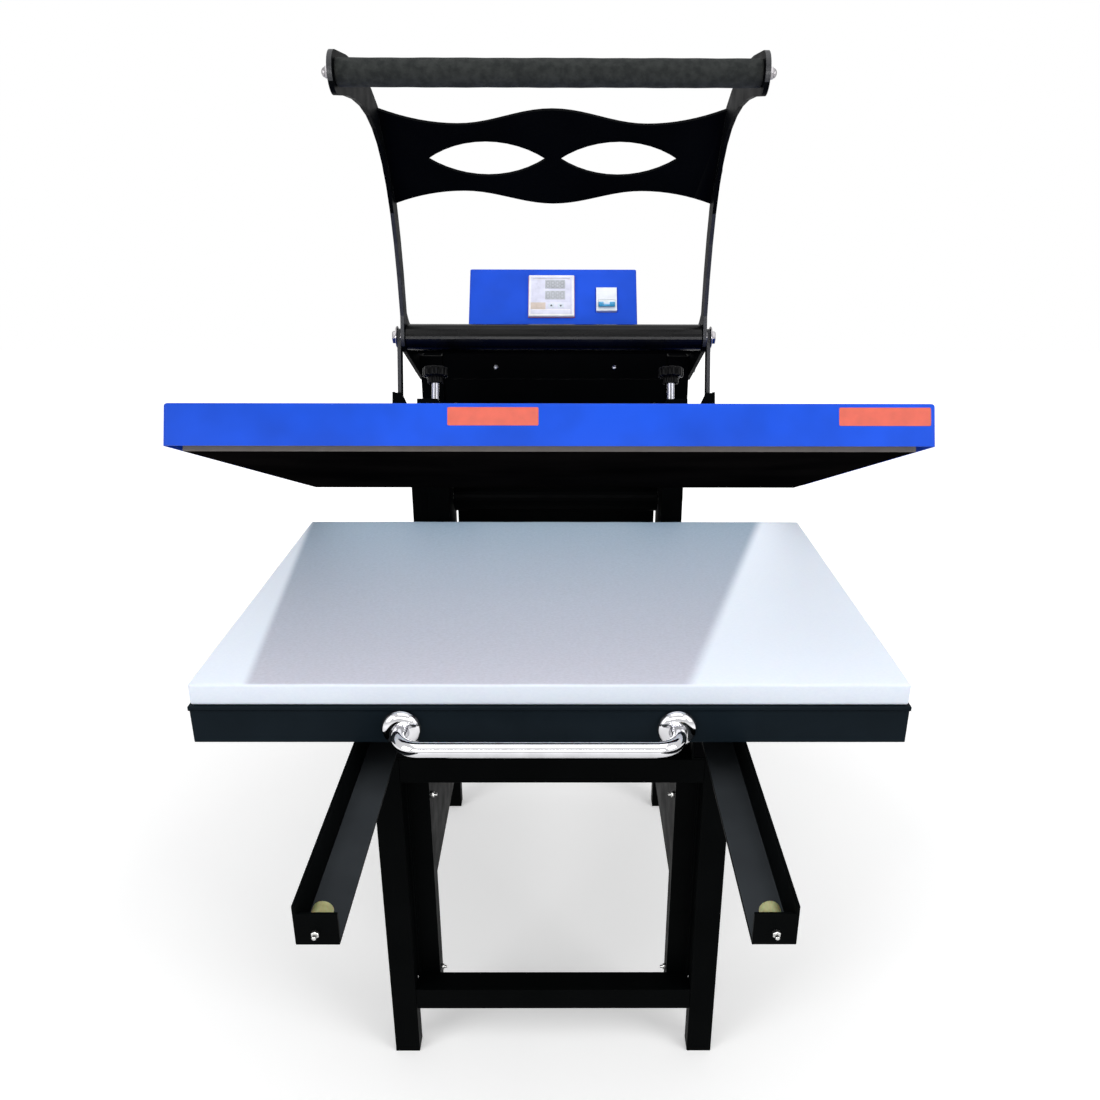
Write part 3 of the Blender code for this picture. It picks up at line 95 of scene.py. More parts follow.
# %% Floor, world and lamps
FLOOR_SIZE, FLOOR_TONE, FLOOR_ROUGHNESS = 14.0, 0.93, 0.9
GLOW_RADII, GLOW_STRENGTHS = (0.9, 3.2), (0.30, 0.80)
WORLD_LIGHT = 0.42
MIDDLE, TORQUE_TUBE = (0, 0, 0.9), (0, 0.29, 1.12)
LAMPS = (("lamp_above", (0.1, -0.6, 3.4), (2.6, 2.6), 38),
         ("lamp_left", (-2.6, -2.0, 1.9), (1.6, 2.2), 39),
         ("lamp_right", (2.6, -1.7, 2.1), (1.6, 2.2), 39))
STRIP_PLACE, STRIP_SIZE, STRIP_POWER = (0, -2.2, 1.45), (2.6, 0.34), 42
CARD_PLACE, CARD_AIM, CARD_SIZE, CARD_POWER = (0, 0.120, 0.910), (0, 0.036, 0.700), (0.86, 0.52), 1.5


def looking_rays(tree):
    """One for rays from the camera, from a mirror or through glass, nought for rays that carry light."""
    rays = tree.nodes.new("ShaderNodeLightPath")
    any_of = tree.nodes.new("ShaderNodeMath")
    any_of.operation = "MAXIMUM"
    mirror_or_glass = tree.nodes.new("ShaderNodeMath")
    mirror_or_glass.operation = "MAXIMUM"
    tree.links.new(rays.outputs["Is Glossy Ray"], mirror_or_glass.inputs[0])
    tree.links.new(rays.outputs["Is Transmission Ray"], mirror_or_glass.inputs[1])
    tree.links.new(rays.outputs["Is Camera Ray"], any_of.inputs[0])
    tree.links.new(mirror_or_glass.outputs[0], any_of.inputs[1])
    return any_of.outputs[0]


def white_world(strength_on_object):
    world = bpy.data.worlds.new("white_world")
    bpy.context.scene.world = world
    world.use_nodes = True
    tree = world.node_tree
    tree.nodes.clear()
    out = tree.nodes.new("ShaderNodeOutputWorld")
    lit = tree.nodes.new("ShaderNodeBackground")
    lit.inputs["Color"].default_value = (1, 1, 1, 1)
    lit.inputs["Strength"].default_value = strength_on_object
    seen = tree.nodes.new("ShaderNodeBackground")
    seen.inputs["Color"].default_value = (1, 1, 1, 1)
    seen.inputs["Strength"].default_value = 1.0
    mix = tree.nodes.new("ShaderNodeMixShader")
    tree.links.new(looking_rays(tree), mix.inputs["Fac"])
    tree.links.new(lit.outputs[0], mix.inputs[1])
    tree.links.new(seen.outputs[0], mix.inputs[2])
    tree.links.new(mix.outputs[0], out.inputs["Surface"])


def pale_floor():
    bm = bmesh.new()
    bmesh.ops.create_grid(bm, x_segments=1, y_segments=1, size=FLOOR_SIZE / 2)
    mesh = bpy.data.meshes.new("floor")
    bm.to_mesh(mesh)
    bm.free()
    floor = bpy.data.objects.new("floor", mesh)
    bpy.context.collection.objects.link(floor)
    paint = bpy.data.materials.new("floor_white")
    paint.use_nodes = True
    tree = paint.node_tree
    shader = tree.nodes["Principled BSDF"]
    shader.inputs["Base Color"].default_value = (FLOOR_TONE, FLOOR_TONE, FLOOR_TONE, 1)
    shader.inputs["Roughness"].default_value = FLOOR_ROUGHNESS
    shader.inputs["Specular IOR Level"].default_value = 0.0
    shader.inputs["Emission Color"].default_value = (1, 1, 1, 1)
    coords = tree.nodes.new("ShaderNodeTexCoord")
    away = tree.nodes.new("ShaderNodeVectorMath")
    away.operation = "LENGTH"
    fade = tree.nodes.new("ShaderNodeMapRange")
    for socket, value in zip(("From Min", "From Max", "To Min", "To Max"), GLOW_RADII + GLOW_STRENGTHS):
        fade.inputs[socket].default_value = value
    glow = tree.nodes.new("ShaderNodeMath")
    glow.operation = "MULTIPLY"
    tree.links.new(coords.outputs["Object"], away.inputs[0])
    tree.links.new(away.outputs["Value"], fade.inputs["Value"])
    tree.links.new(fade.outputs["Result"], glow.inputs[0])
    tree.links.new(looking_rays(tree), glow.inputs[1])
    tree.links.new(glow.outputs[0], shader.inputs["Emission Strength"])
    mesh.materials.append(paint)
    return floor


def soft_lamp(name, place, aim, size, power):
    lamp = bpy.data.lights.new(name, "AREA")
    lamp.shape = "RECTANGLE"
    lamp.size, lamp.size_y = size
    lamp.energy = power
    obj = bpy.data.objects.new(name, lamp)
    bpy.context.collection.objects.link(obj)
    obj.location = place
    obj.rotation_euler = (Vector(aim) - Vector(place)).to_track_quat("-Z", "Y").to_euler()
    return obj


def fill_card():
    """A small lamp for the gap between the platens, unseen itself."""
    card = soft_lamp("fill_card", CARD_PLACE, CARD_AIM, CARD_SIZE, CARD_POWER)
    card.visible_camera = card.visible_glossy = False


white_world(WORLD_LIGHT)
pale_floor()
for name, place, size, power in LAMPS:
    soft_lamp(name, place, MIDDLE, size, power)
soft_lamp("strip_in_front", STRIP_PLACE, TORQUE_TUBE, STRIP_SIZE, STRIP_POWER).visible_diffuse = False
fill_card()
print("lamps", [lamp.name for lamp in bpy.data.lights])

# %% [markdown]
# Powder coat is paint baked from dust: a skin with a faint orange peel, slightly uneven in
# gloss. One function makes it for any colour. Fine noise drives the bump, and two broader noises
# move the roughness and the colour a little, so that no flat face looks printed.

# %% Powder coat
SHADE_SCALE, GLOSS_SCALE, PEEL_SCALE = 9.0, 28.0, 900.0


def new_material(name):
    paint = bpy.data.materials.new(name)
    paint.use_nodes = True
    return paint, paint.node_tree, paint.node_tree.nodes["Principled BSDF"]


def noise(tree, scale, detail=3.0, stretch=None):
    """Noise in real metres: one feature is about 1 / scale of a metre."""
    coords = tree.nodes.new("ShaderNodeTexCoord")
    made = tree.nodes.new("ShaderNodeTexNoise")
    made.inputs["Scale"].default_value = scale
    made.inputs["Detail"].default_value = detail
    if stretch:
        mapping = tree.nodes.new("ShaderNodeMapping")
        mapping.inputs["Scale"].default_value = stretch
        tree.links.new(coords.outputs["Object"], mapping.inputs["Vector"])
        tree.links.new(mapping.outputs["Vector"], made.inputs["Vector"])
    else:
        tree.links.new(coords.outputs["Object"], made.inputs["Vector"])
    return made.outputs["Fac"]


def spread(tree, value, low, high, from_low=0.3, from_high=0.7):
    """Maps a noise value to a range of numbers."""
    made = tree.nodes.new("ShaderNodeMapRange")
    made.inputs["From Min"].default_value = from_low
    made.inputs["From Max"].default_value = from_high
    made.inputs["To Min"].default_value = low
    made.inputs["To Max"].default_value = high
    tree.links.new(value, made.inputs["Value"])
    return made.outputs["Result"]


def two_tones(tree, value, dark, light, from_low=0.35, from_high=0.65):
    ramp = tree.nodes.new("ShaderNodeValToRGB")
    ramp.color_ramp.elements[0].position = from_low
    ramp.color_ramp.elements[1].position = from_high
    ramp.color_ramp.elements[0].color = (*dark, 1)
    ramp.color_ramp.elements[1].color = (*light, 1)
    tree.links.new(value, ramp.inputs["Fac"])
    return ramp.outputs["Color"]


def bump(tree, shader, height, distance, strength=1.0):
    made = tree.nodes.new("ShaderNodeBump")
    made.inputs["Distance"].default_value = distance
    made.inputs["Strength"].default_value = strength
    tree.links.new(height, made.inputs["Height"])
    tree.links.new(made.outputs["Normal"], shader.inputs["Normal"])


def powder_coat(name, colour, gloss, peel=0.00004, shine=0.2):
    paint, tree, shader = new_material(name)
    shader.inputs["Specular IOR Level"].default_value = shine
    lighter = tuple(min(1.0, c * 1.3 + 0.0003) for c in colour)
    tree.links.new(two_tones(tree, noise(tree, SHADE_SCALE), colour, lighter), shader.inputs["Base Color"])
    uneven = spread(tree, noise(tree, GLOSS_SCALE), gloss - 0.05, gloss + 0.07)
    tree.links.new(uneven, shader.inputs["Roughness"])
    bump(tree, shader, noise(tree, PEEL_SCALE, 2.0), peel)
    return paint


BLACK_COAT = powder_coat("black_powder_coat", (0.0009, 0.0012, 0.0013), 0.46, shine=0.012)
BED_COAT = powder_coat("black_bed_coat", (0.0050, 0.0090, 0.0128), 0.42, shine=0.03)
ARM_COAT = powder_coat("black_lever_coat", (0.0016, 0.0019, 0.0023), 0.44, shine=0.012)
# A lighter, glossier coat that paints a highlight on the front and upper faces of the lever arms and links.
EDGE_HIGHLIGHT_COAT = powder_coat("black_edge_gloss_painted_highlight", (0.0200, 0.0210, 0.0235), 0.40, 0.00002, 0.25)
# A lighter coat that paints light on the up-facing floor of the drawer rails.
RAIL_FLOOR_LIGHT_COAT = powder_coat("rail_floor_painted_light", (0.0300, 0.0340, 0.0380), 0.42, shine=0.04)
TUBE_COAT = powder_coat("black_tube_gloss", (0.0008, 0.0009, 0.0011), 0.24, 0.00002, 0.14)
BLUE_COAT = powder_coat("blue_powder_coat", (0.0070, 0.068, 0.570), 0.42, 0.00002, 0.10)
COATS = (BLACK_COAT, BED_COAT, ARM_COAT, EDGE_HIGHLIGHT_COAT, RAIL_FLOOR_LIGHT_COAT, TUBE_COAT, BLUE_COAT)
print("powder coats", [coat.name for coat in COATS])

# %% [markdown]
# Bare metals are metallic all through: their colour is the colour of their mirror. Chrome is
# nearly smooth with a trace of haze. Zinc plating is duller with a fine grain. The heater plate
# has a baked non-stick coat over cast aluminium: dark, brownish and matt, with rubbed patches
# where cloth has been pressed.

# %% Metals and the heater's coat
CLOUD_SCALE, WIPE_SCALE, GRAIN_SCALE = 40.0, 160.0, 700.0
RUBBED_DARK, RUBBED_LIGHT = (0.0014, 0.0013, 0.0014), (0.0040, 0.0035, 0.0034)


def bright_metal(name, colour, gloss, grain):
    paint, tree, shader = new_material(name)
    shader.inputs["Metallic"].default_value = 1.0
    darker = tuple(c * 0.88 for c in colour)
    tree.links.new(two_tones(tree, noise(tree, CLOUD_SCALE), darker, colour), shader.inputs["Base Color"])
    wiped = spread(tree, noise(tree, WIPE_SCALE), gloss * 0.7, gloss * 1.4)
    tree.links.new(wiped, shader.inputs["Roughness"])
    bump(tree, shader, noise(tree, GRAIN_SCALE, 2.0), grain)
    return paint


def heater_coat(name):
    paint, tree, shader = new_material(name)
    shader.inputs["Specular IOR Level"].default_value = 0.0
    rubbed = two_tones(tree, noise(tree, 5.0, 5.0), RUBBED_DARK, RUBBED_LIGHT)
    tree.links.new(rubbed, shader.inputs["Base Color"])
    tree.links.new(spread(tree, noise(tree, 11.0, 5.0), 0.40, 0.52), shader.inputs["Roughness"])
    bump(tree, shader, noise(tree, 420.0, 3.0), 0.00005)
    return paint


CHROME = bright_metal("polished_chrome", (0.62, 0.62, 0.64), 0.07, 0.000002)
ZINC = bright_metal("bright_zinc", (0.50, 0.50, 0.49), 0.28, 0.00001)
BOLT_ZINC = bright_metal("dull_zinc", (0.30, 0.29, 0.30), 0.24, 0.00001)
HEATER_COAT = heater_coat("heater_non_stick")
print("metals", CHROME.name, ZINC.name, BOLT_ZINC.name, HEATER_COAT.name)

# %% [markdown]
# The pad is white silicone sponge with a smooth skin, a little blue in the shade. The real one
# shows a fine woven grain, drawn here by a stretched noise. Across its middle the shade and dark
# reflection of the open platen are painted into its colour as a patch with soft straight edges,
# greyer in front and bluer at the back. Each edge of the painted shade is a line across the pad,
# and the three are multiplied.

# %% Silicone, rubber, foam and plastics
# Edges and tones of the painted shade and dark reflection of the open platen on the pad.
PLATEN_SHADE_EDGES = (((1, 0.1217, 0), -0.4096, 0.014), ((-1, 0.3416, 0), -0.2651, 0.022),
               ((0, 1, 0), -0.2655, 0.003))
PAD_HALF, PAD_FRONT, PAD_BACK, PAD_LOW = 0.450, -0.2675, 0.3325, 0.745
UNSHADED_TONES = (0.775, 0.840, 0.945), (0.820, 0.880, 0.975)
SHADE_NEAR_TONES = (0.490, 0.495, 0.570), (0.590, 0.600, 0.690)
SHADE_FAR_TONES = (0.245, 0.330, 0.425), (0.315, 0.415, 0.520)
WEAVE_SCALE, WEAVE_STRETCH = 420.0, (0.55, 1.0, 1.0)
FOAM_CELLS, FOAM_PORES = 1250.0, 0.00032


def painted_platen_shade(tree):
    """One inside the painted shade and reflection of the open platen, nought outside. Each soft edge is a
    line across the pad.
    """
    coords = tree.nodes.new("ShaderNodeTexCoord")
    share = None
    for across, start, soft in PLATEN_SHADE_EDGES:
        along = tree.nodes.new("ShaderNodeVectorMath")
        along.operation = "DOT_PRODUCT"
        along.inputs[1].default_value = across
        tree.links.new(coords.outputs["Object"], along.inputs[0])
        edge = tree.nodes.new("ShaderNodeMapRange")
        edge.interpolation_type = "SMOOTHSTEP"
        edge.inputs["From Min"].default_value = start - soft / 2
        edge.inputs["From Max"].default_value = start + soft / 2
        tree.links.new(along.outputs["Value"], edge.inputs["Value"])
        if share is None:
            share = edge.outputs["Result"]
        else:
            both_edges = tree.nodes.new("ShaderNodeMath")
            both_edges.operation = "MULTIPLY"
            tree.links.new(share, both_edges.inputs[0])
            tree.links.new(edge.outputs["Result"], both_edges.inputs[1])
            share = both_edges.outputs[0]
    return share


def blend_colours(tree, share, first, second):
    mix = tree.nodes.new("ShaderNodeMix")
    mix.data_type = "RGBA"
    tree.links.new(share, mix.inputs["Factor"])
    tree.links.new(first, mix.inputs[6])
    tree.links.new(second, mix.inputs[7])
    return mix.outputs[2]


def silicone(name):
    paint, tree, shader = new_material(name)
    weave = noise(tree, WEAVE_SCALE, 4.0, WEAVE_STRETCH)
    unshaded, near, far = [two_tones(tree, weave, *tones, 0.2, 0.8)
                        for tones in (UNSHADED_TONES, SHADE_NEAR_TONES, SHADE_FAR_TONES)]
    coords = tree.nodes.new("ShaderNodeTexCoord")
    apart = tree.nodes.new("ShaderNodeSeparateXYZ")
    tree.links.new(coords.outputs["Object"], apart.inputs["Vector"])
    to_back = spread(tree, apart.outputs["Y"], 0, 1, PAD_FRONT, PAD_BACK)
    # Painted shade and reflection of the open platen: greyer in front, bluer at the back.
    painted_shade = blend_colours(tree, to_back, near, far)
    colour = blend_colours(tree, painted_platen_shade(tree), unshaded, painted_shade)
    tree.links.new(colour, shader.inputs["Base Color"])
    tree.links.new(spread(tree, noise(tree, 300.0, 4.0), 0.42, 0.50), shader.inputs["Roughness"])
    shader.inputs["Specular IOR Level"].default_value = 0.15
    shader.inputs["Subsurface Weight"].default_value = 0.08
    shader.inputs["Subsurface Scale"].default_value = 0.004
    bump(tree, shader, noise(tree, 600.0, 3.0), 0.00005)
    return paint


def moulded(name, colour, gloss, grain=0.00002, scale=700.0, shine=0.5):
    paint, tree, shader = new_material(name)
    shader.inputs["Specular IOR Level"].default_value = shine
    lighter = tuple(min(1.0, c * 1.15 + 0.0004) for c in colour)
    tree.links.new(two_tones(tree, noise(tree, 60.0), colour, lighter), shader.inputs["Base Color"])
    tree.links.new(spread(tree, noise(tree, 90.0), gloss - 0.04, gloss + 0.06), shader.inputs["Roughness"])
    bump(tree, shader, noise(tree, scale, 2.0), grain)
    return paint


def urethane(name):
    paint, tree, shader = new_material(name)
    tree.links.new(two_tones(tree, noise(tree, 70.0), (0.29, 0.285, 0.125), (0.42, 0.425, 0.215)),
                   shader.inputs["Base Color"])
    tree.links.new(spread(tree, noise(tree, 120.0), 0.28, 0.42), shader.inputs["Roughness"])
    shader.inputs["Subsurface Weight"].default_value = 0.35
    shader.inputs["Subsurface Scale"].default_value = 0.006
    bump(tree, shader, noise(tree, 500.0, 2.0), 0.00003)
    return paint


def foam(name):
    paint, tree, shader = new_material(name)
    cells = tree.nodes.new("ShaderNodeTexVoronoi")
    cells.inputs["Scale"].default_value = FOAM_CELLS
    coords = tree.nodes.new("ShaderNodeTexCoord")
    tree.links.new(coords.outputs["Object"], cells.inputs["Vector"])
    tree.links.new(two_tones(tree, noise(tree, 120.0, 4.0), (0.008, 0.010, 0.010), (0.024, 0.027, 0.026)),
                   shader.inputs["Base Color"])
    shader.inputs["Roughness"].default_value = 0.92
    shader.inputs["Specular IOR Level"].default_value = 0.25
    bump(tree, shader, cells.outputs["Distance"], FOAM_PORES)
    return paint


SILICONE = silicone("white_silicone")
URETHANE = urethane("amber_urethane")
FOAM = foam("grip_foam")
NYLON = moulded("wheel_nylon", (0.52, 0.52, 0.47), 0.42)
KNOB_PLASTIC = moulded("knob_plastic", (0.0018, 0.0019, 0.0022), 0.16, 0.00004, shine=0.05)
CAP_PLASTIC = moulded("end_cap_plastic", (0.0022, 0.0023, 0.0026), 0.60, 0.00005, shine=0.0)
METER_PLASTIC = moulded("meter_plastic", (0.86, 0.85, 0.86), 0.38)
METER_FACE = moulded("meter_face", (0.66, 0.67, 0.80), 0.30, 0.000002)
METER_WINDOW = moulded("meter_window", (0.45, 0.47, 0.51), 0.30, 0.000002)
METER_SEGMENT = moulded("meter_segment", (0.29, 0.31, 0.33), 0.3, 0.000002)
METER_STRIP = moulded("meter_strip", (0.58, 0.49, 0.43), 0.40)
GASKET_RUBBER = moulded("meter_gasket", (0.50, 0.09, 0.06), 0.55)
KEY_PLASTIC = moulded("key_plastic", (0.60, 0.66, 0.74), 0.42)
MARK_INK = moulded("mark_ink", (0.03, 0.035, 0.05), 0.5)
BREAKER_PLASTIC = moulded("breaker_plastic", (0.76, 0.79, 0.83), 0.36)
TOGGLE_PLASTIC = moulded("toggle_plastic", (0.035, 0.36, 0.66), 0.30)
LABEL_PAPER = moulded("orange_label", (0.62, 0.088, 0.048), 0.42, 0.00001)
print("materials", len(bpy.data.materials))

# %% [markdown]
# Every carried-over part gets its finish here. Real steel has no knife edges, and paint makes
# them rounder still, so each part gets two modifiers: Weld joins the loose triangles of the
# imported mesh, and Bevel rounds the edges that turn by more than 40 degrees. Round tubes and
# shafts need neither. A test on each face's direction gives some faces a second, lighter
# material that paints light on them: a painted highlight, in a glossier coat, on the front and
# upper faces of the lever arms and links, and painted light on the floor of each drawer rail.

# %% Finish the carried-over steel
MERGE_MESH, SOFT_ANGLE = 0.00001, radians(40)


def dress(names, paint, edge=0.0009, segments=3):
    for name in names:
        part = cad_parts[name]
        part.data.materials.clear()
        part.data.materials.append(paint)
        if edge:
            weld = part.modifiers.new("weld", "WELD")
            weld.merge_threshold = MERGE_MESH
            soft = part.modifiers.new("soft_edges", "BEVEL")
            soft.width = edge
            soft.segments = segments
            soft.limit_method = "ANGLE"
            soft.angle_limit = SOFT_ANGLE
            soft.harden_normals = True
    print(paint.name, "on", len(names), "parts")


def second_finish(name, paint, chosen):
    """Gives the faces that pass a test the part's second material."""
    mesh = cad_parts[name].data
    mesh.materials.append(paint)
    lowest = min(vert.co.z for vert in mesh.vertices)
    for face in mesh.polygons:
        face.material_index = 1 if chosen(face, face.center.z - lowest) else 0
    print(paint.name, "on", sum(face.material_index for face in mesh.polygons), "faces of", name)


SIDES = (("L", -1), ("R", 1))


def both(*stems):
    return [f"{stem}_{label}" for stem in stems for label, _ in SIDES]


dress(both("front_leg", "rear_leg", "base_beam", "mast_post") +
      ["front_top_rail", "front_lower_rail", "rear_top_rail"], BLACK_COAT)
dress(both("side_panel", "drawer_rail", "wheel_bracket_front", "wheel_bracket_rear", "link_bracket") +
      ["mast_panel", "shaft_cover", "box_bracket", "hood", "lift_frame"], BLACK_COAT, 0.0010)
dress(["bed_frame"], BED_COAT, 0.0015)
dress(both("lever_arm", "link") + ["cross_plate"], ARM_COAT, 0.0012)
# Painted highlight: the front and upper faces of the arms and links get the lighter coat.
for name in both("lever_arm", "link"):
    second_finish(name, EDGE_HIGHLIGHT_COAT, lambda face, height: abs(face.normal.x) < 0.5 and face.normal.y < 0.1 and
                  face.normal.z > -0.4)
# Painted light: the up-facing floor of each drawer rail gets the lighter coat.
for name in both("drawer_rail"):
    second_finish(name, RAIL_FLOOR_LIGHT_COAT, lambda face, height: face.normal.z > 0.9 and height < 0.02)
dress(["torque_tube", "grip_bar"], TUBE_COAT, 0.0)
dress(["lever_shaft", "hinge_shaft"], ZINC, 0.0)
dress(both("wheel_front", "wheel_rear"), NYLON, 0.0005, 2)
dress(both("bumper"), URETHANE, 0.0008)
dress(["control_box"], BLUE_COAT, 0.0028, 4)
dress(["meter"], METER_PLASTIC, 0.0006)
dress(["button_set"], METER_STRIP, 0.0006)
dress(["button_up", "button_down"], KEY_PLASTIC, 0.0006)
dress(["breaker"], BREAKER_PLASTIC, 0.0007)

# %% [markdown]
# The heater is a casting with its working face coated. Its edge is only blasted, so it shows as
# the thin grey-brown line under the blue cover. Both finishes sit on one part: every face but
# the working one gets the second material.

# %% Heater plate with a blasted edge
CAST_EDGE = moulded("cast_edge", (0.095, 0.080, 0.070), 0.55, 0.00008, 260.0)
dress(["heater_plate"], HEATER_COAT, 0.0012)
OPEN_ANGLE = radians(21.8)
down = Matrix.Rotation(-OPEN_ANGLE, 3, "X") @ Vector((0, 0, -1))
second_finish("heater_plate", CAST_EDGE, lambda face, height: face.normal.dot(down) < 0.7)

# %% [markdown]
# A few helpers carry the rest. A turned shape is a half outline spun about Z; any shape made
# standing on Z can then be stood on another part with stand_on. Pieces of the platen are made
# as if it were closed, because they are square there, and tilted about the hinge at the end.

# %% Helpers for new pieces
HINGE = Vector((0, 0.5025, 0.769))
SAME_POINT = 0.000002


def add_piece(bm, name, paint, body, smooth=35):
    bmesh.ops.remove_doubles(bm, verts=bm.verts, dist=SAME_POINT)
    bmesh.ops.recalc_face_normals(bm, faces=bm.faces)
    mesh = bpy.data.meshes.new(name)
    bm.to_mesh(mesh)
    bm.free()
    mesh.materials.append(paint)
    mesh.shade_smooth()
    mesh.set_sharp_from_angle(angle=radians(smooth))
    obj = bpy.data.objects.new(name, mesh)
    bpy.context.collection.objects.link(obj)
    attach(obj, body)
    print(name, len(mesh.polygons), "faces on", body)
    return obj


def spun(profile, steps=32):
    """A turned shape: (radius, height) pairs joined by edges and spun once about Z."""
    bm = bmesh.new()
    line = [bm.verts.new((r, 0, z)) for r, z in profile]
    edges = [bm.edges.new(pair) for pair in zip(line, line[1:])]
    bmesh.ops.spin(bm, geom=line + edges, cent=(0, 0, 0), axis=(0, 0, 1), angle=2 * pi, steps=steps,
                   use_merge=True)
    bmesh.ops.remove_doubles(bm, verts=bm.verts, dist=SAME_POINT)
    return bm


def block(x0, x1, y0, y1, z0, z1, edge=0.0, segments=3):
    bm = bmesh.new()
    bmesh.ops.create_cube(bm, size=1)
    bmesh.ops.scale(bm, vec=(x1 - x0, y1 - y0, z1 - z0), verts=bm.verts)
    bmesh.ops.translate(bm, vec=((x0 + x1) / 2, (y0 + y1) / 2, (z0 + z1) / 2), verts=bm.verts)
    if edge:
        bmesh.ops.bevel(bm, geom=bm.edges[:], offset=edge, segments=segments, profile=0.5, affect="EDGES",
                        material=-1)
    return bm


def stand_on(bm, place, direction=(0, 0, 1)):
    """Turns a shape made on Z towards a direction and sets it at a place."""
    turn = Vector((0, 0, 1)).rotation_difference(Vector(direction)).to_matrix()
    bmesh.ops.rotate(bm, cent=(0, 0, 0), matrix=turn, verts=bm.verts)
    bmesh.ops.translate(bm, vec=place, verts=bm.verts)
    return bm


def gather(shapes):
    """Puts several shapes in one mesh."""
    whole = bmesh.new()
    for bm in shapes:
        part = bpy.data.meshes.new("part")
        bm.to_mesh(part)
        bm.free()
        whole.from_mesh(part)
        bpy.data.meshes.remove(part)
    return whole


def tilt_open(bm):
    """Takes a shape from the closed platen to the open one."""
    bmesh.ops.rotate(bm, cent=HINGE, matrix=Matrix.Rotation(-OPEN_ANGLE, 3, "X"), verts=bm.verts)
    return bm


# %% [markdown]
# The blue cover is a shallow pan of sheet steel, folded down on four sides and painted. It is
# modelled as the fold is made: a box without its bottom face, rounded at the corners, then given
# the thickness of the sheet. Its corners are rounder than its long edges, as on the real pan.

# %% Blue platen cover
PAD_TOP = 0.775
COVER_HALF = 0.468
COVER_FRONT, COVER_BACK = -0.2505, 0.3815
COVER_LOW = PAD_TOP + 0.0056
COVER_TOP = COVER_LOW + 0.052
COVER_SHEET = 0.0015
CORNER_ROUND, RIM_ROUND = 0.007, 0.0035


def cover_pan():
    bm = block(-COVER_HALF, COVER_HALF, COVER_FRONT, COVER_BACK, COVER_LOW, COVER_TOP)
    bottom = [f for f in bm.faces if f.normal.z < -0.5]
    bmesh.ops.delete(bm, geom=bottom, context="FACES_ONLY")
    corners = [e for e in bm.edges if abs(e.verts[0].co.z - e.verts[1].co.z) > 0.01]
    bmesh.ops.bevel(bm, geom=corners, offset=CORNER_ROUND, segments=6, profile=0.5, affect="EDGES",
                    material=-1)
    rim = [e for e in bm.edges if all(v.co.z > COVER_TOP - 0.0001 for v in e.verts) and len(e.link_faces) == 2
           and any(abs(f.normal.z) < 0.5 for f in e.link_faces)]
    bmesh.ops.bevel(bm, geom=rim, offset=RIM_ROUND, segments=4, profile=0.5, affect="EDGES", material=-1)
    bmesh.ops.recalc_face_normals(bm, faces=bm.faces)
    bmesh.ops.solidify(bm, geom=bm.faces[:], thickness=COVER_SHEET)
    return tilt_open(bm)


cover = add_piece(cover_pan(), "blue_cover_pan", BLUE_COAT, "platen")
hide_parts("platen_cover")

# %% [markdown]
# The pad is a slab of silicone sponge, cut square and rounded at its rim by the skin. Sponge is
# never quite flat, so its top is a grid whose points move by a few tenths of a millimetre. The
# sides come from one extrusion of that grid, and the rim is bevelled.

# %% Silicone pad
PAD_WAVES, PAD_SINK = 0.00022, 0.0006


def wavy(x, y):
    slow = sin(21 * x + 1.3) * cos(17 * y - 0.4)
    return PAD_WAVES * (slow + 0.6 * sin(47 * x - 31 * y) + 0.4 * cos(83 * y + 9 * x))


def pad_slab():
    bm = bmesh.new()
    bmesh.ops.create_grid(bm, x_segments=72, y_segments=48, size=1)
    bmesh.ops.scale(bm, vec=(PAD_HALF, (PAD_BACK - PAD_FRONT) / 2, 1), verts=bm.verts)
    bmesh.ops.translate(bm, vec=(0, (PAD_BACK + PAD_FRONT) / 2, PAD_TOP - PAD_SINK), verts=bm.verts)
    for vert in bm.verts:
        vert.co.z += wavy(vert.co.x, vert.co.y)
    grown = bmesh.ops.extrude_face_region(bm, geom=bm.faces[:])
    low = [item for item in grown["geom"] if isinstance(item, bmesh.types.BMVert)]
    for vert in low:
        vert.co.z = PAD_LOW
    bmesh.ops.recalc_face_normals(bm, faces=bm.faces)
    rim = [e for e in bm.edges if len(e.link_faces) == 2
           and e.link_faces[0].normal.dot(e.link_faces[1].normal) < 0.5]
    bmesh.ops.bevel(bm, geom=rim, offset=RIM_ROUND, segments=4, profile=0.5, affect="EDGES", material=-1)
    return bm


pad = add_piece(pad_slab(), "sponge_pad", SILICONE, "drawer", 60)
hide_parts("silicone_pad")

# %% [markdown]
# The grip is a foam tube pushed over the bar. Its ends are rounded where they meet the arms, and
# its outside is not a perfect cylinder, so the outline swells and shrinks by fractions of a
# millimetre before it is spun.

# %% Foam grip
GRIP = Vector((0, -0.0825, 1.475))
ARM_INNER = 0.2463
GRIP_HALF = ARM_INNER - 0.0003
BAR_RADIUS, FOAM_FACE, FOAM_RIM, FOAM_RADIUS = 0.0125, 0.0142, 0.0154, 0.0155
END_ROUND, END_REACH = 0.0012, 0.003


def foam_tube():
    outline = [(BAR_RADIUS, -GRIP_HALF), (FOAM_FACE, -GRIP_HALF), (FOAM_RIM, -GRIP_HALF + END_ROUND)]
    for i in range(41):
        z = -GRIP_HALF + END_REACH + (2 * GRIP_HALF - 2 * END_REACH) * i / 40
        outline.append((FOAM_RADIUS + 0.00014 * sin(i * 1.7) + 0.0001 * cos(i * 0.6), z))
    outline += [(FOAM_RIM, GRIP_HALF - END_ROUND), (FOAM_FACE, GRIP_HALF), (BAR_RADIUS, GRIP_HALF),
                (BAR_RADIUS, -GRIP_HALF)]
    return stand_on(spun(outline, 56), GRIP, (1, 0, 0))


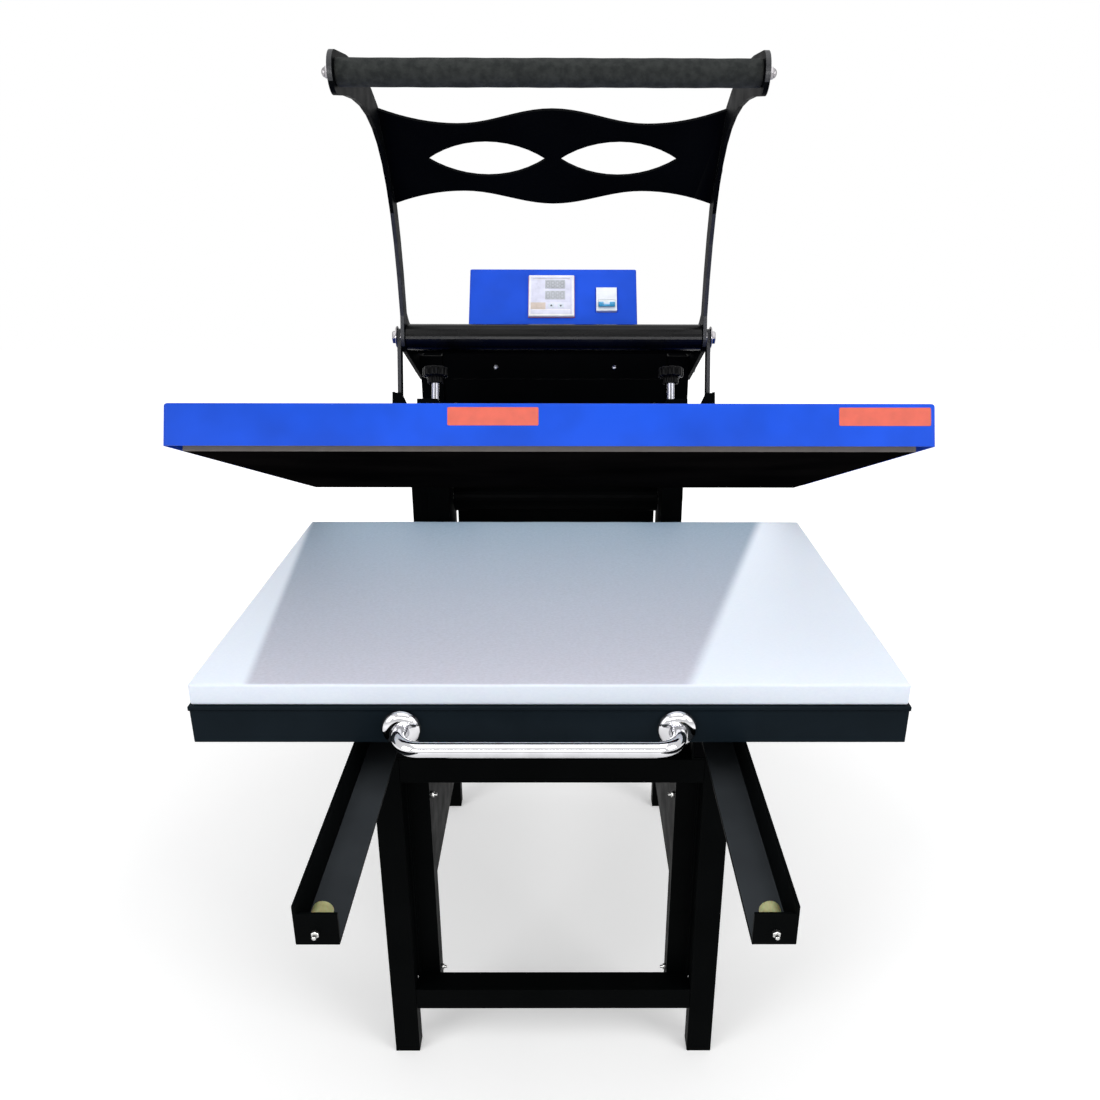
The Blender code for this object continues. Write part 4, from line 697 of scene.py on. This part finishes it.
grip = add_piece(foam_tube(), "foam_grip", FOAM, "lever", 50)
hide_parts("grip_sleeve")

# %% [markdown]
# The drawer handle is a chromed tube, bent at both ends and standing in two domed flanges. A ring
# is drawn along its route: extruded, moved and turned to look ahead at every step, so bends stay
# round.

# %% Chrome drawer handle
HANDLE_X, HANDLE_SPAN, HANDLE_RADIUS = -0.0135, 0.347, 0.010
HANDLE_WALL, HANDLE_Z = -0.2708, 0.7143
HANDLE_REACH, HANDLE_BEND = 0.048, 0.030
ROOT_STEPS = 0.005, 0.012, 0.019


def handle_route():
    half, front = HANDLE_SPAN / 2, HANDLE_WALL - HANDLE_REACH
    turns = [pi / 2 * i / 12 for i in range(13)]
    left = [(HANDLE_X - half + HANDLE_BEND * (1 - cos(a)), front + HANDLE_BEND * (1 - sin(a))) for a in turns]
    right = [(2 * HANDLE_X - x, y) for x, y in reversed(left)]
    run = [(HANDLE_X - half, HANDLE_WALL - step) for step in ROOT_STEPS]
    run += left + right + [(2 * HANDLE_X - x, y) for x, y in reversed(run)]
    return [Vector((x, y, HANDLE_Z)) for x, y in run]


def drawn(route, radius, segments=24):
    """A round bar drawn along a route of points."""
    bm = bmesh.new()
    ahead = (route[1] - route[0]).normalized()
    made = bmesh.ops.create_circle(bm, cap_ends=False, radius=radius, segments=segments)
    turn = Vector((0, 0, 1)).rotation_difference(ahead).to_matrix()
    bmesh.ops.rotate(bm, cent=(0, 0, 0), matrix=turn, verts=made["verts"])
    bmesh.ops.translate(bm, vec=route[0], verts=made["verts"])
    ring = bm.edges[:]
    for i in range(1, len(route)):
        grown = bmesh.ops.extrude_edge_only(bm, edges=ring)["geom"]
        verts = [g for g in grown if isinstance(g, bmesh.types.BMVert)]
        ring = [g for g in grown if isinstance(g, bmesh.types.BMEdge)]
        bmesh.ops.translate(bm, vec=route[i] - route[i - 1], verts=verts)
        look = (route[min(i + 1, len(route) - 1)] - route[i - 1]).normalized()
        bmesh.ops.rotate(bm, cent=route[i], matrix=ahead.rotation_difference(look).to_matrix(), verts=verts)
        ahead = look
    bmesh.ops.holes_fill(bm, edges=[e for e in bm.edges if e.is_boundary], sides=0)
    return bm


def flange(x):
    dome = [(0, 0), (0.0245, 0), (0.0250, 0.0006), (0.0250, 0.0014)]
    dome += [(0.0115 + 0.0130 * cos(pi / 2 * i / 8), 0.0020 + 0.0078 * sin(pi / 2 * i / 8)) for i in range(9)]
    dome += [(0.0108, 0.0090), (0, 0.0090)]
    return stand_on(spun(dome, 48), (x, HANDLE_WALL, HANDLE_Z), (0, -1, 0))


handle = add_piece(gather([drawn(handle_route(), HANDLE_RADIUS)] +
                          [flange(HANDLE_X + side * HANDLE_SPAN / 2) for _, side in SIDES]),
                   "chrome_handle", CHROME, "drawer", 50)
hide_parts("grab_handle")

# %% [markdown]
# The pressure knobs are moulded stars with a fluted collar, on threaded rods that press on the
# cover. A star is a circle whose points move in and out with a cosine, extruded and bevelled.
# The thread is one V-shaped outline spun many times while it climbs by one pitch per turn.

# %% Pressure knobs and threaded rods
SCREW_X, SCREW_Y = 0.183, 0.0675
LIFT_LOW = COVER_TOP + 0.005
LIFT_TOP = LIFT_LOW + 0.040
KNOB_TOP = LIFT_TOP + 0.064
ROD_RADIUS, THREAD_DEPTH, THREAD_PITCH = 0.0060, 0.0007, 0.0015


def star(radius, depth, lobes, low, high, edge):
    bm = bmesh.new()
    made = bmesh.ops.create_circle(bm, cap_ends=True, radius=radius, segments=lobes * 12)
    for vert in made["verts"]:
        turn = atan2(vert.co.y, vert.co.x)
        pull = 1 - depth / radius * (1 - abs(cos(lobes * turn / 2)) ** 0.8)
        vert.co.x *= pull
        vert.co.y *= pull
        vert.co.z = low
    grown = bmesh.ops.extrude_face_region(bm, geom=bm.faces[:])
    top = [item for item in grown["geom"] if isinstance(item, bmesh.types.BMVert)]
    bmesh.ops.translate(bm, vec=(0, 0, high - low), verts=top)
    bmesh.ops.recalc_face_normals(bm, faces=bm.faces)
    rims = [e for e in bm.edges if abs(e.verts[0].co.z - e.verts[1].co.z) < 0.00001]
    bmesh.ops.bevel(bm, geom=rims, offset=edge, segments=3, profile=0.5, affect="EDGES", material=-1)
    return bm


def knob(side):
    body = star(0.0198, 0.0030, 8, KNOB_TOP - 0.0160, KNOB_TOP - 0.0012, 0.0022)
    cap = spun([(0, 0.0012), (0.0085, 0.0012), (0.0105, 0.0004), (0.0112, -0.0010), (0, -0.0010)], 40)
    bmesh.ops.translate(cap, vec=(0, 0, KNOB_TOP - 0.0012), verts=cap.verts)
    collar = star(0.0122, 0.0012, 12, KNOB_TOP - 0.0260, KNOB_TOP - 0.0150, 0.0008)
    whole = gather([body, cap, collar])
    bmesh.ops.translate(whole, vec=(side * SCREW_X, SCREW_Y, 0), verts=whole.verts)
    return tilt_open(whole)


def thread(radius, depth, pitch, low, high, steps=20):
    bm = bmesh.new()
    turns = int((high - low) / pitch)
    line = [bm.verts.new((r, 0, z)) for r, z in ((radius - depth, low), (radius, low + pitch * 0.4),
                                                 (radius, low + pitch * 0.6), (radius - depth, low + pitch))]
    edges = [bm.edges.new(pair) for pair in zip(line, line[1:])]
    bmesh.ops.spin(bm, geom=line + edges, cent=(0, 0, 0), axis=(0, 0, 1), angle=2 * pi * turns,
                   dvec=(0, 0, pitch / steps), steps=steps * turns, use_merge=False)
    bmesh.ops.remove_doubles(bm, verts=bm.verts, dist=0.00001)
    bmesh.ops.holes_fill(bm, edges=[e for e in bm.edges if e.is_boundary], sides=0)
    return bm


def threaded_rod(side):
    rod = thread(ROD_RADIUS, THREAD_DEPTH, THREAD_PITCH, COVER_TOP + 0.003, KNOB_TOP - 0.012)
    foot = spun([(0, 0.0003), (0.0132, 0.0003), (0.0140, 0.0010), (0.0140, 0.0030), (0.0132, 0.0038),
                 (0.0080, 0.0044), (0, 0.0044)], 40)
    bmesh.ops.translate(foot, vec=(0, 0, COVER_TOP), verts=foot.verts)
    whole = gather([rod, foot])
    bmesh.ops.translate(whole, vec=(side * SCREW_X, SCREW_Y, 0), verts=whole.verts)
    return tilt_open(whole)


for label, side in SIDES:
    body = f"pressure_knob_{label}"
    made = add_piece(threaded_rod(side), f"threaded_rod_{label}", CHROME, body, 25)
    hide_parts(f"pressure_screw_{label}")
    made = add_piece(knob(side), f"star_knob_{label}", KNOB_PLASTIC, body, 40)
    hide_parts(f"knob_{label}")

# %% [markdown]
# Bolts hold it together, and they are the detail that gives the press its scale. A hexagon head
# is a six-sided prism with a raised crown and soft edges, on a washer; the small nuts have none
# and show the end of their bolt. The screws of the covers have low round heads with a socket. Each
# row below is one kind of fastener: its places and its sizes, across, high and standing out.

# %% Bolts, nuts and screws
PIVOT_Y, PIVOT_Z = 0.2875, 1.118
SHAFT_Y, SHAFT_Z, SHAFT_RADIUS = 0.4545, 1.040, 0.012
HINGE_RADIUS = 0.015
ARM_OUTER = 0.2523
RAIL_END_X, RAIL_END_Y, RAIL_END_Z = 0.231, -0.5455, 0.651
PANEL_X, PANEL_SPOTS = 0.1877, ((-0.080, 0.128), (-0.080, 0.474), (0.180, 0.474), (0.440, 0.474))
COVER_Y, COVER_SPOTS = 0.4205, ((-0.1085, 1.0445), (0.1085, 1.0445), (-0.185, 0.974), (0.185, 0.974))
MAST_FOOT_X, MAST_FOOT_SPOTS = 0.206, ((0.443, 0.665), (0.507, 0.665))
BRACKET_X, BRACKET_SPOTS = 0.2017, ((0.492, 1.010), (0.517, 1.010))
HOOD_SHARES, HOOD_OVER_LINE = (0.30, 0.58), 0.012
PLATE_Y, PLATE_Z, PLATE_STEPS, PLATE_SLOPE = 0.210, 1.3925, (-0.014, 0.014), 1.2
RAIL_NUT, PANEL_NUT = (0.0075, 0.0040, 0.0050), (0.0085, 0.0040, 0.0050)
COVER_SCREW, ARM_SCREW = (0.0043, 0.0032), (0.0055, 0.0036)
MAST_BOLT, BRACKET_BOLT, GRIP_NUT = (0.013, 0.0055), (0.010, 0.0045), (0.013, 0.011)


def hex_head(across, height, washer=True):
    shapes = []
    lift = 0.0
    if washer:
        lift = across * 0.10
        wide = across * 0.95
        shapes.append(spun([(0, 0), (wide, 0), (wide, lift * 0.7), (wide - lift * 0.3, lift), (0, lift)], 28))
    bm = bmesh.new()
    corner = across / 2 / cos(pi / 6)
    bmesh.ops.create_cone(bm, cap_ends=True, segments=6, radius1=corner, radius2=corner, depth=height)
    bmesh.ops.translate(bm, vec=(0, 0, lift + height / 2), verts=bm.verts)
    crown = [f for f in bm.faces if f.normal.z > 0.9]
    bmesh.ops.inset_region(bm, faces=crown, thickness=across * 0.08, depth=0)
    for face in crown:
        for vert in face.verts:
            vert.co.z += height * 0.12
    bmesh.ops.bevel(bm, geom=bm.edges[:], offset=across * 0.02, segments=2, profile=0.5, affect="EDGES",
                    material=-1)
    shapes.append(bm)
    return gather(shapes)


def stud_nut(across, height, stud):
    """A nut with the end of its bolt standing out of it."""
    r = across * 0.29
    out = height + stud
    end = spun([(0, height * 0.5), (r, height * 0.5), (r, out - 0.0006), (r - 0.0006, out), (0, out)], 20)
    return gather([hex_head(across, height, washer=False), end])


def acorn_nut(across, height):
    hexagon = hex_head(across, height * 0.45)
    base = across * 0.10 + height * 0.40
    r = across * 0.43
    dome = [(0, base)] + [(r * cos(a), base + height * 0.12 + (height * 0.38) * sin(a))
                          for a in [pi / 2 * i / 8 for i in range(9)]]
    return gather([hexagon, spun(dome, 32)])


def socket_screw(radius, height):
    head = [(0, 0), (radius, 0), (radius, height * 0.35), (radius * 0.86, height * 0.75),
            (radius * 0.60, height)]
    socket = [(radius * 0.42, height), (radius * 0.38, height * 0.45), (0, height * 0.35)]
    return spun(head + socket, 28)


def circlip(shaft_radius):
    """A ring that sits a little way into a groove of the shaft."""
    inner, outer, thick = shaft_radius - 0.0005, shaft_radius + 0.0022, 0.0012
    return spun([(inner, 0), (outer, 0), (outer, thick), (inner, thick), (inner, 0)], 36)


def on_sides(x, spots, look=1):
    """Spots (y, z) on the left and right faces at x. Look is 1 for faces turned outwards, -1 inwards."""
    return [((side * x, y, z), (side * look, 0, 0)) for _, side in SIDES for y, z in spots]


def fix_many(name, body, places, shape, sizes, paint=ZINC):
    made = [stand_on(shape(*sizes), place, direction) for place, direction in places]
    add_piece(gather(made), name, paint, body, 30)


FRONT = (0, -1, 0)
rail_ends = [((side * RAIL_END_X, RAIL_END_Y, RAIL_END_Z), FRONT) for _, side in SIDES]
fix_many("rail_end_bolts", "stand", rail_ends, stud_nut, RAIL_NUT)
fix_many("side_panel_bolts", "stand", on_sides(PANEL_X, PANEL_SPOTS, -1), stud_nut, PANEL_NUT)
cover_spots = [((x, COVER_Y, z), FRONT) for x, z in COVER_SPOTS]
fix_many("panel_screws", "stand", cover_spots, socket_screw, COVER_SCREW)
fix_many("mast_foot_bolts", "stand", on_sides(MAST_FOOT_X, MAST_FOOT_SPOTS, -1), hex_head, MAST_BOLT)
fix_many("bracket_bolts", "stand", on_sides(BRACKET_X, BRACKET_SPOTS, -1), hex_head, BRACKET_BOLT)
grip_ends = on_sides(ARM_OUTER + 0.0002, [(GRIP.y, GRIP.z)])
fix_many("grip_nuts", "lever", grip_ends, acorn_nut, GRIP_NUT, BOLT_ZINC)
hood_spots = [(PIVOT_Y + share * (SHAFT_Y - PIVOT_Y), PIVOT_Z + share * (SHAFT_Z - PIVOT_Z) + HOOD_OVER_LINE)
              for share in HOOD_SHARES]
fix_many("hood_screws", "lever", on_sides(ARM_OUTER, hood_spots), socket_screw, ARM_SCREW)
plate_spots = [(PLATE_Y + step, PLATE_Z - step * PLATE_SLOPE) for step in PLATE_STEPS]
fix_many("cross_plate_screws", "lever", on_sides(ARM_OUTER, plate_spots), socket_screw, ARM_SCREW)
fix_many("shaft_circlips", "stand", on_sides(0.2555, [(SHAFT_Y, SHAFT_Z)]), circlip, (SHAFT_RADIUS,))
fix_many("hinge_circlips", "stand", on_sides(0.2485, [(HINGE.y, HINGE.z)]), circlip, (HINGE_RADIUS,))

# %% [markdown]
# The pivot bolts carry the whole pressing force, so they get large heads. Each is one turned
# shank with a hexagon head and a washer, and a spacer between arm and link. It replaces the plain
# CAD bolt.

# %% Pivot bolts
HEAD_X, PIVOT_HEAD = 0.2609, (0.0190, 0.0060)
SHANK = ((0, -0.0440), (0.0076, -0.0440), (0.0080, -0.0436), (0.0080, 0.0004), (0, 0.0004))
SPACER = ((0.0079, -0.0083), (0.0135, -0.0083), (0.0135, -0.0065), (0.0079, -0.0065), (0.0079, -0.0083))


def pivot_bolt(side):
    whole = gather([spun(SHANK, 28), hex_head(*PIVOT_HEAD), spun(SPACER, 28)])
    return stand_on(whole, (side * HEAD_X, PIVOT_Y, PIVOT_Z), (side, 0, 0))


for label, side in SIDES:
    made = add_piece(pivot_bolt(side), f"hex_pivot_bolt_{label}", BOLT_ZINC, "lever", 30)
    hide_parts(f"pivot_bolt_{label}")

# %% [markdown]
# Open tube ends are closed with pushed-in plastic caps: under the feet, on the beams and on top of
# the mast's posts. A cap is a rounded plate. The feet stand on theirs. Each span below goes from
# one side of a cap to the other.

# %% Tube end caps
CAP_ROUND = 0.0012
FOOT_X, FOOT_STARTS, FOOT_Y, FOOT_Z = (0.2252, 0.2608), (-0.1345, 0.5175), (0.0022, 0.0258), (0.0004, 0.012)
BEAM_X, BEAM_ENDS, BEAM_Z = (0.2062, 0.2598), ((-0.1340, -0.122), (0.533, 0.545)), (0.5775, 0.6311)
MAST_X, MAST_Y, MAST_Z = (0.2092, 0.2428), (0.4207, 0.5293), (1.052, 1.0645)


def plug(side, x, y, z):
    x0, x1 = sorted((side * x[0], side * x[1]))
    return block(x0, x1, *y, *z, CAP_ROUND, 2)


caps = []
for _, side in SIDES:
    caps += [plug(side, FOOT_X, (start + FOOT_Y[0], start + FOOT_Y[1]), FOOT_Z) for start in FOOT_STARTS]
    caps += [plug(side, BEAM_X, end, BEAM_Z) for end in BEAM_ENDS]
    caps.append(plug(side, MAST_X, MAST_Y, MAST_Z))
add_piece(gather(caps), "tube_end_caps", CAP_PLASTIC, "stand", 30)

# %% [markdown]
# Two orange labels sit on the front of the cover. They are left plain here: a thin film with
# rounded corners, so that only its edge catches the light.

# %% Plain labels on the cover
LABEL_SPANS = (-0.1235, -0.0135), (0.3500, 0.4610)
LABEL_LOW, LABEL_HIGH, LABEL_ROUND = COVER_LOW + 0.0247, COVER_LOW + 0.0468, 0.0018


def label_film(x0, x1):
    bm = block(x0, x1, COVER_FRONT - 0.0003, COVER_FRONT + 0.0002, LABEL_LOW, LABEL_HIGH)
    corners = [e for e in bm.edges if abs(e.verts[0].co.y - e.verts[1].co.y) > 0.0004]
    bmesh.ops.bevel(bm, geom=corners, offset=LABEL_ROUND, segments=4, profile=0.5, affect="EDGES",
                    material=-1)
    return tilt_open(bm)


add_piece(gather([label_film(*span) for span in LABEL_SPANS]), "plain_labels", LABEL_PAPER, "platen", 30)

# %% [markdown]
# The meter has two unlit displays in a pale lavender face, and a row of three keys, beige round
# the first. The displays show only their faint segments, and a thin red gasket looks out round
# the bezel. All of it is made upright, lying on the bezel's front, then leaned back with the
# panel. Each bar below says where its middle is, across and up, and how wide and tall it is.

# %% Meter face
PANEL_PLACE = Vector((0, 0.3545, 1.125))
PANEL_LEAN = atan2(0.0657, 0.092)
METER_X, METER_UP = -0.0053, 0.0587
BEZEL_FRONT = -0.0063
DISPLAY_X, DISPLAY_UPS = 0.0064, (0.0215, 0.0005)
DISPLAY_SIZE, DIGIT_SIZE, DIGIT_STEP = (0.0350, 0.0168), (0.0054, 0.0122), 0.0084
KEYS_UP = -0.0205
SCREEN = ((0, 0.0068, 0.0660, 0.0495),)
STRIP_BAR = ((-0.0233, KEYS_UP, 0.0258, 0.0128),)
KEY_BAR = ((0.0113, KEYS_UP, 0.0434, 0.0128),)
BORDER = ((-0.0346, 0, 0.0034, 0.0726), (0.0346, 0, 0.0034, 0.0726), (0, 0.0346, 0.0660, 0.0034),
          (0, -0.0322, 0.0660, 0.0082))
GASKET = ((0, -0.0402, 0.0810, 0.0007), (0, 0.0402, 0.0810, 0.0007), (-0.0402, 0, 0.0007, 0.0798),
          (0.0402, 0, 0.0007, 0.0798))


def lean_panel(bm):
    bmesh.ops.rotate(bm, cent=(0, 0, 0), matrix=Matrix.Rotation(-PANEL_LEAN, 3, "X"), verts=bm.verts)
    bmesh.ops.translate(bm, vec=PANEL_PLACE, verts=bm.verts)
    return bm


def on_meter(x, up, wide, tall, thick, sink):
    """A thin bar on the bezel's front: thick says how thick it is, sink how deep its back lies."""
    x += METER_X
    up += METER_UP
    return block(x - wide / 2, x + wide / 2, BEZEL_FRONT + sink - thick, BEZEL_FRONT + sink,
                 up - tall / 2, up + tall / 2, min(thick, 0.0006) * 0.45, 2)


def meter_film(name, paint, bars, thick, sink):
    shapes = [on_meter(*bar, thick, sink) for bar in bars]
    add_piece(lean_panel(gather(shapes)), name, paint, "stand", 30)


def digit(x, up):
    """The seven bars of an eight."""
    wide, tall = DIGIT_SIZE
    t = wide * 0.20
    level = [(x, up + lift, wide - t, t) for lift in (tall / 2, 0, -tall / 2)]
    upright = [(x + across * wide / 2, up + lift * tall / 4, t, tall / 2 - t)
               for across in (-1, 1) for lift in (-1, 1)]
    return level + upright


windows = [(DISPLAY_X, up, *DISPLAY_SIZE) for up in DISPLAY_UPS]
digits = [bar for up in DISPLAY_UPS for place in (-1.5, -0.5, 0.5, 1.5)
          for bar in digit(DISPLAY_X + place * DIGIT_STEP, up)]
meter_film("meter_screen", METER_FACE, SCREEN, 0.0008, 0.0010)
meter_film("meter_windows", METER_WINDOW, windows, 0.0003, 0.0003)
meter_film("meter_digits", METER_SEGMENT, digits, 0.0003, 0.0001)
meter_film("meter_strip_film", METER_STRIP, STRIP_BAR, 0.0005, 0.0001)
meter_film("meter_border_film", METER_FACE, BORDER, 0.0003, 0.0)
meter_film("meter_key_film", METER_FACE, KEY_BAR, 0.0004, 0.0001)
meter_film("meter_gasket", GASKET_RUBBER, GASKET, 0.0012, 0.0060)

# %% [markdown]
# Two of the keys carry a small triangle, one pointing up and one pointing down. Each rides on its
# key.

# %% Key marks
MARK_RADIUS, MARK_THICK, MARK_OUT = 0.0026, 0.0003, 0.0011
MARKS = (("up", -0.0055, 1), ("down", 0.0110, -1))


def triangle(x, direction):
    bm = bmesh.new()
    bmesh.ops.create_cone(bm, cap_ends=True, segments=3, radius1=MARK_RADIUS, radius2=MARK_RADIUS,
                          depth=MARK_THICK)
    bmesh.ops.rotate(bm, cent=(0, 0, 0), matrix=Matrix.Rotation(radians(90), 3, "X"), verts=bm.verts)
    if direction < 0:
        bmesh.ops.rotate(bm, cent=(0, 0, 0), matrix=Matrix.Rotation(radians(180), 3, "Y"), verts=bm.verts)
    bmesh.ops.translate(bm, vec=(x, BEZEL_FRONT - MARK_OUT, METER_UP + KEYS_UP), verts=bm.verts)
    return lean_panel(bm)


for key, x, direction in MARKS:
    add_piece(triangle(x, direction), f"key_mark_{key}", MARK_INK, f"key_{key}", 30)

# %% [markdown]
# The breaker's toggle joins two poles: a pale drum with a stout blue handle at each end, pointing
# down, and a bridge between their tips. It is made upright too, then leaned back.

# %% Breaker toggle
TOGGLE_X, TOGGLE_DEPTH, TOGGLE_UP = 0.0911, -0.0005, 0.0450
TOGGLE_DOWN = radians(38)
HANDLE_OFFSETS, HANDLE_WIDE, BRIDGE_WIDE = (-0.0098, 0.0098), 0.0090, 0.0120
DRUM = ((0, -0.0145), (0.0066, -0.0145), (0.0069, -0.0142), (0.0069, 0.0142), (0.0066, 0.0145), (0, 0.0145))


def toggle_bar(x, wide, near, reach, below, above):
    """A bar from near to reach out of the drum's axis, made level and turned down about that axis."""
    bm = block(x - wide / 2, x + wide / 2, TOGGLE_DEPTH - reach, TOGGLE_DEPTH - near, TOGGLE_UP - below,
               TOGGLE_UP + above, 0.0007)
    bmesh.ops.rotate(bm, cent=(0, TOGGLE_DEPTH, TOGGLE_UP), matrix=Matrix.Rotation(TOGGLE_DOWN, 3, "X"),
                     verts=bm.verts)
    return bm


drum = stand_on(spun(DRUM, 40), (TOGGLE_X, TOGGLE_DEPTH, TOGGLE_UP), (1, 0, 0))
add_piece(lean_panel(drum), "toggle_drum", BREAKER_PLASTIC, "power_toggle", 35)
bars = [toggle_bar(TOGGLE_X + offset, HANDLE_WIDE, 0, 0.0118, 0.0025, 0.0050) for offset in HANDLE_OFFSETS]
bars.append(toggle_bar(TOGGLE_X, BRIDGE_WIDE, 0.0060, 0.0116, 0.0024, 0.0012))
bridged = add_piece(lean_panel(gather(bars)), "bridged_toggle", TOGGLE_PLASTIC, "power_toggle", 35)
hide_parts("breaker_toggle")
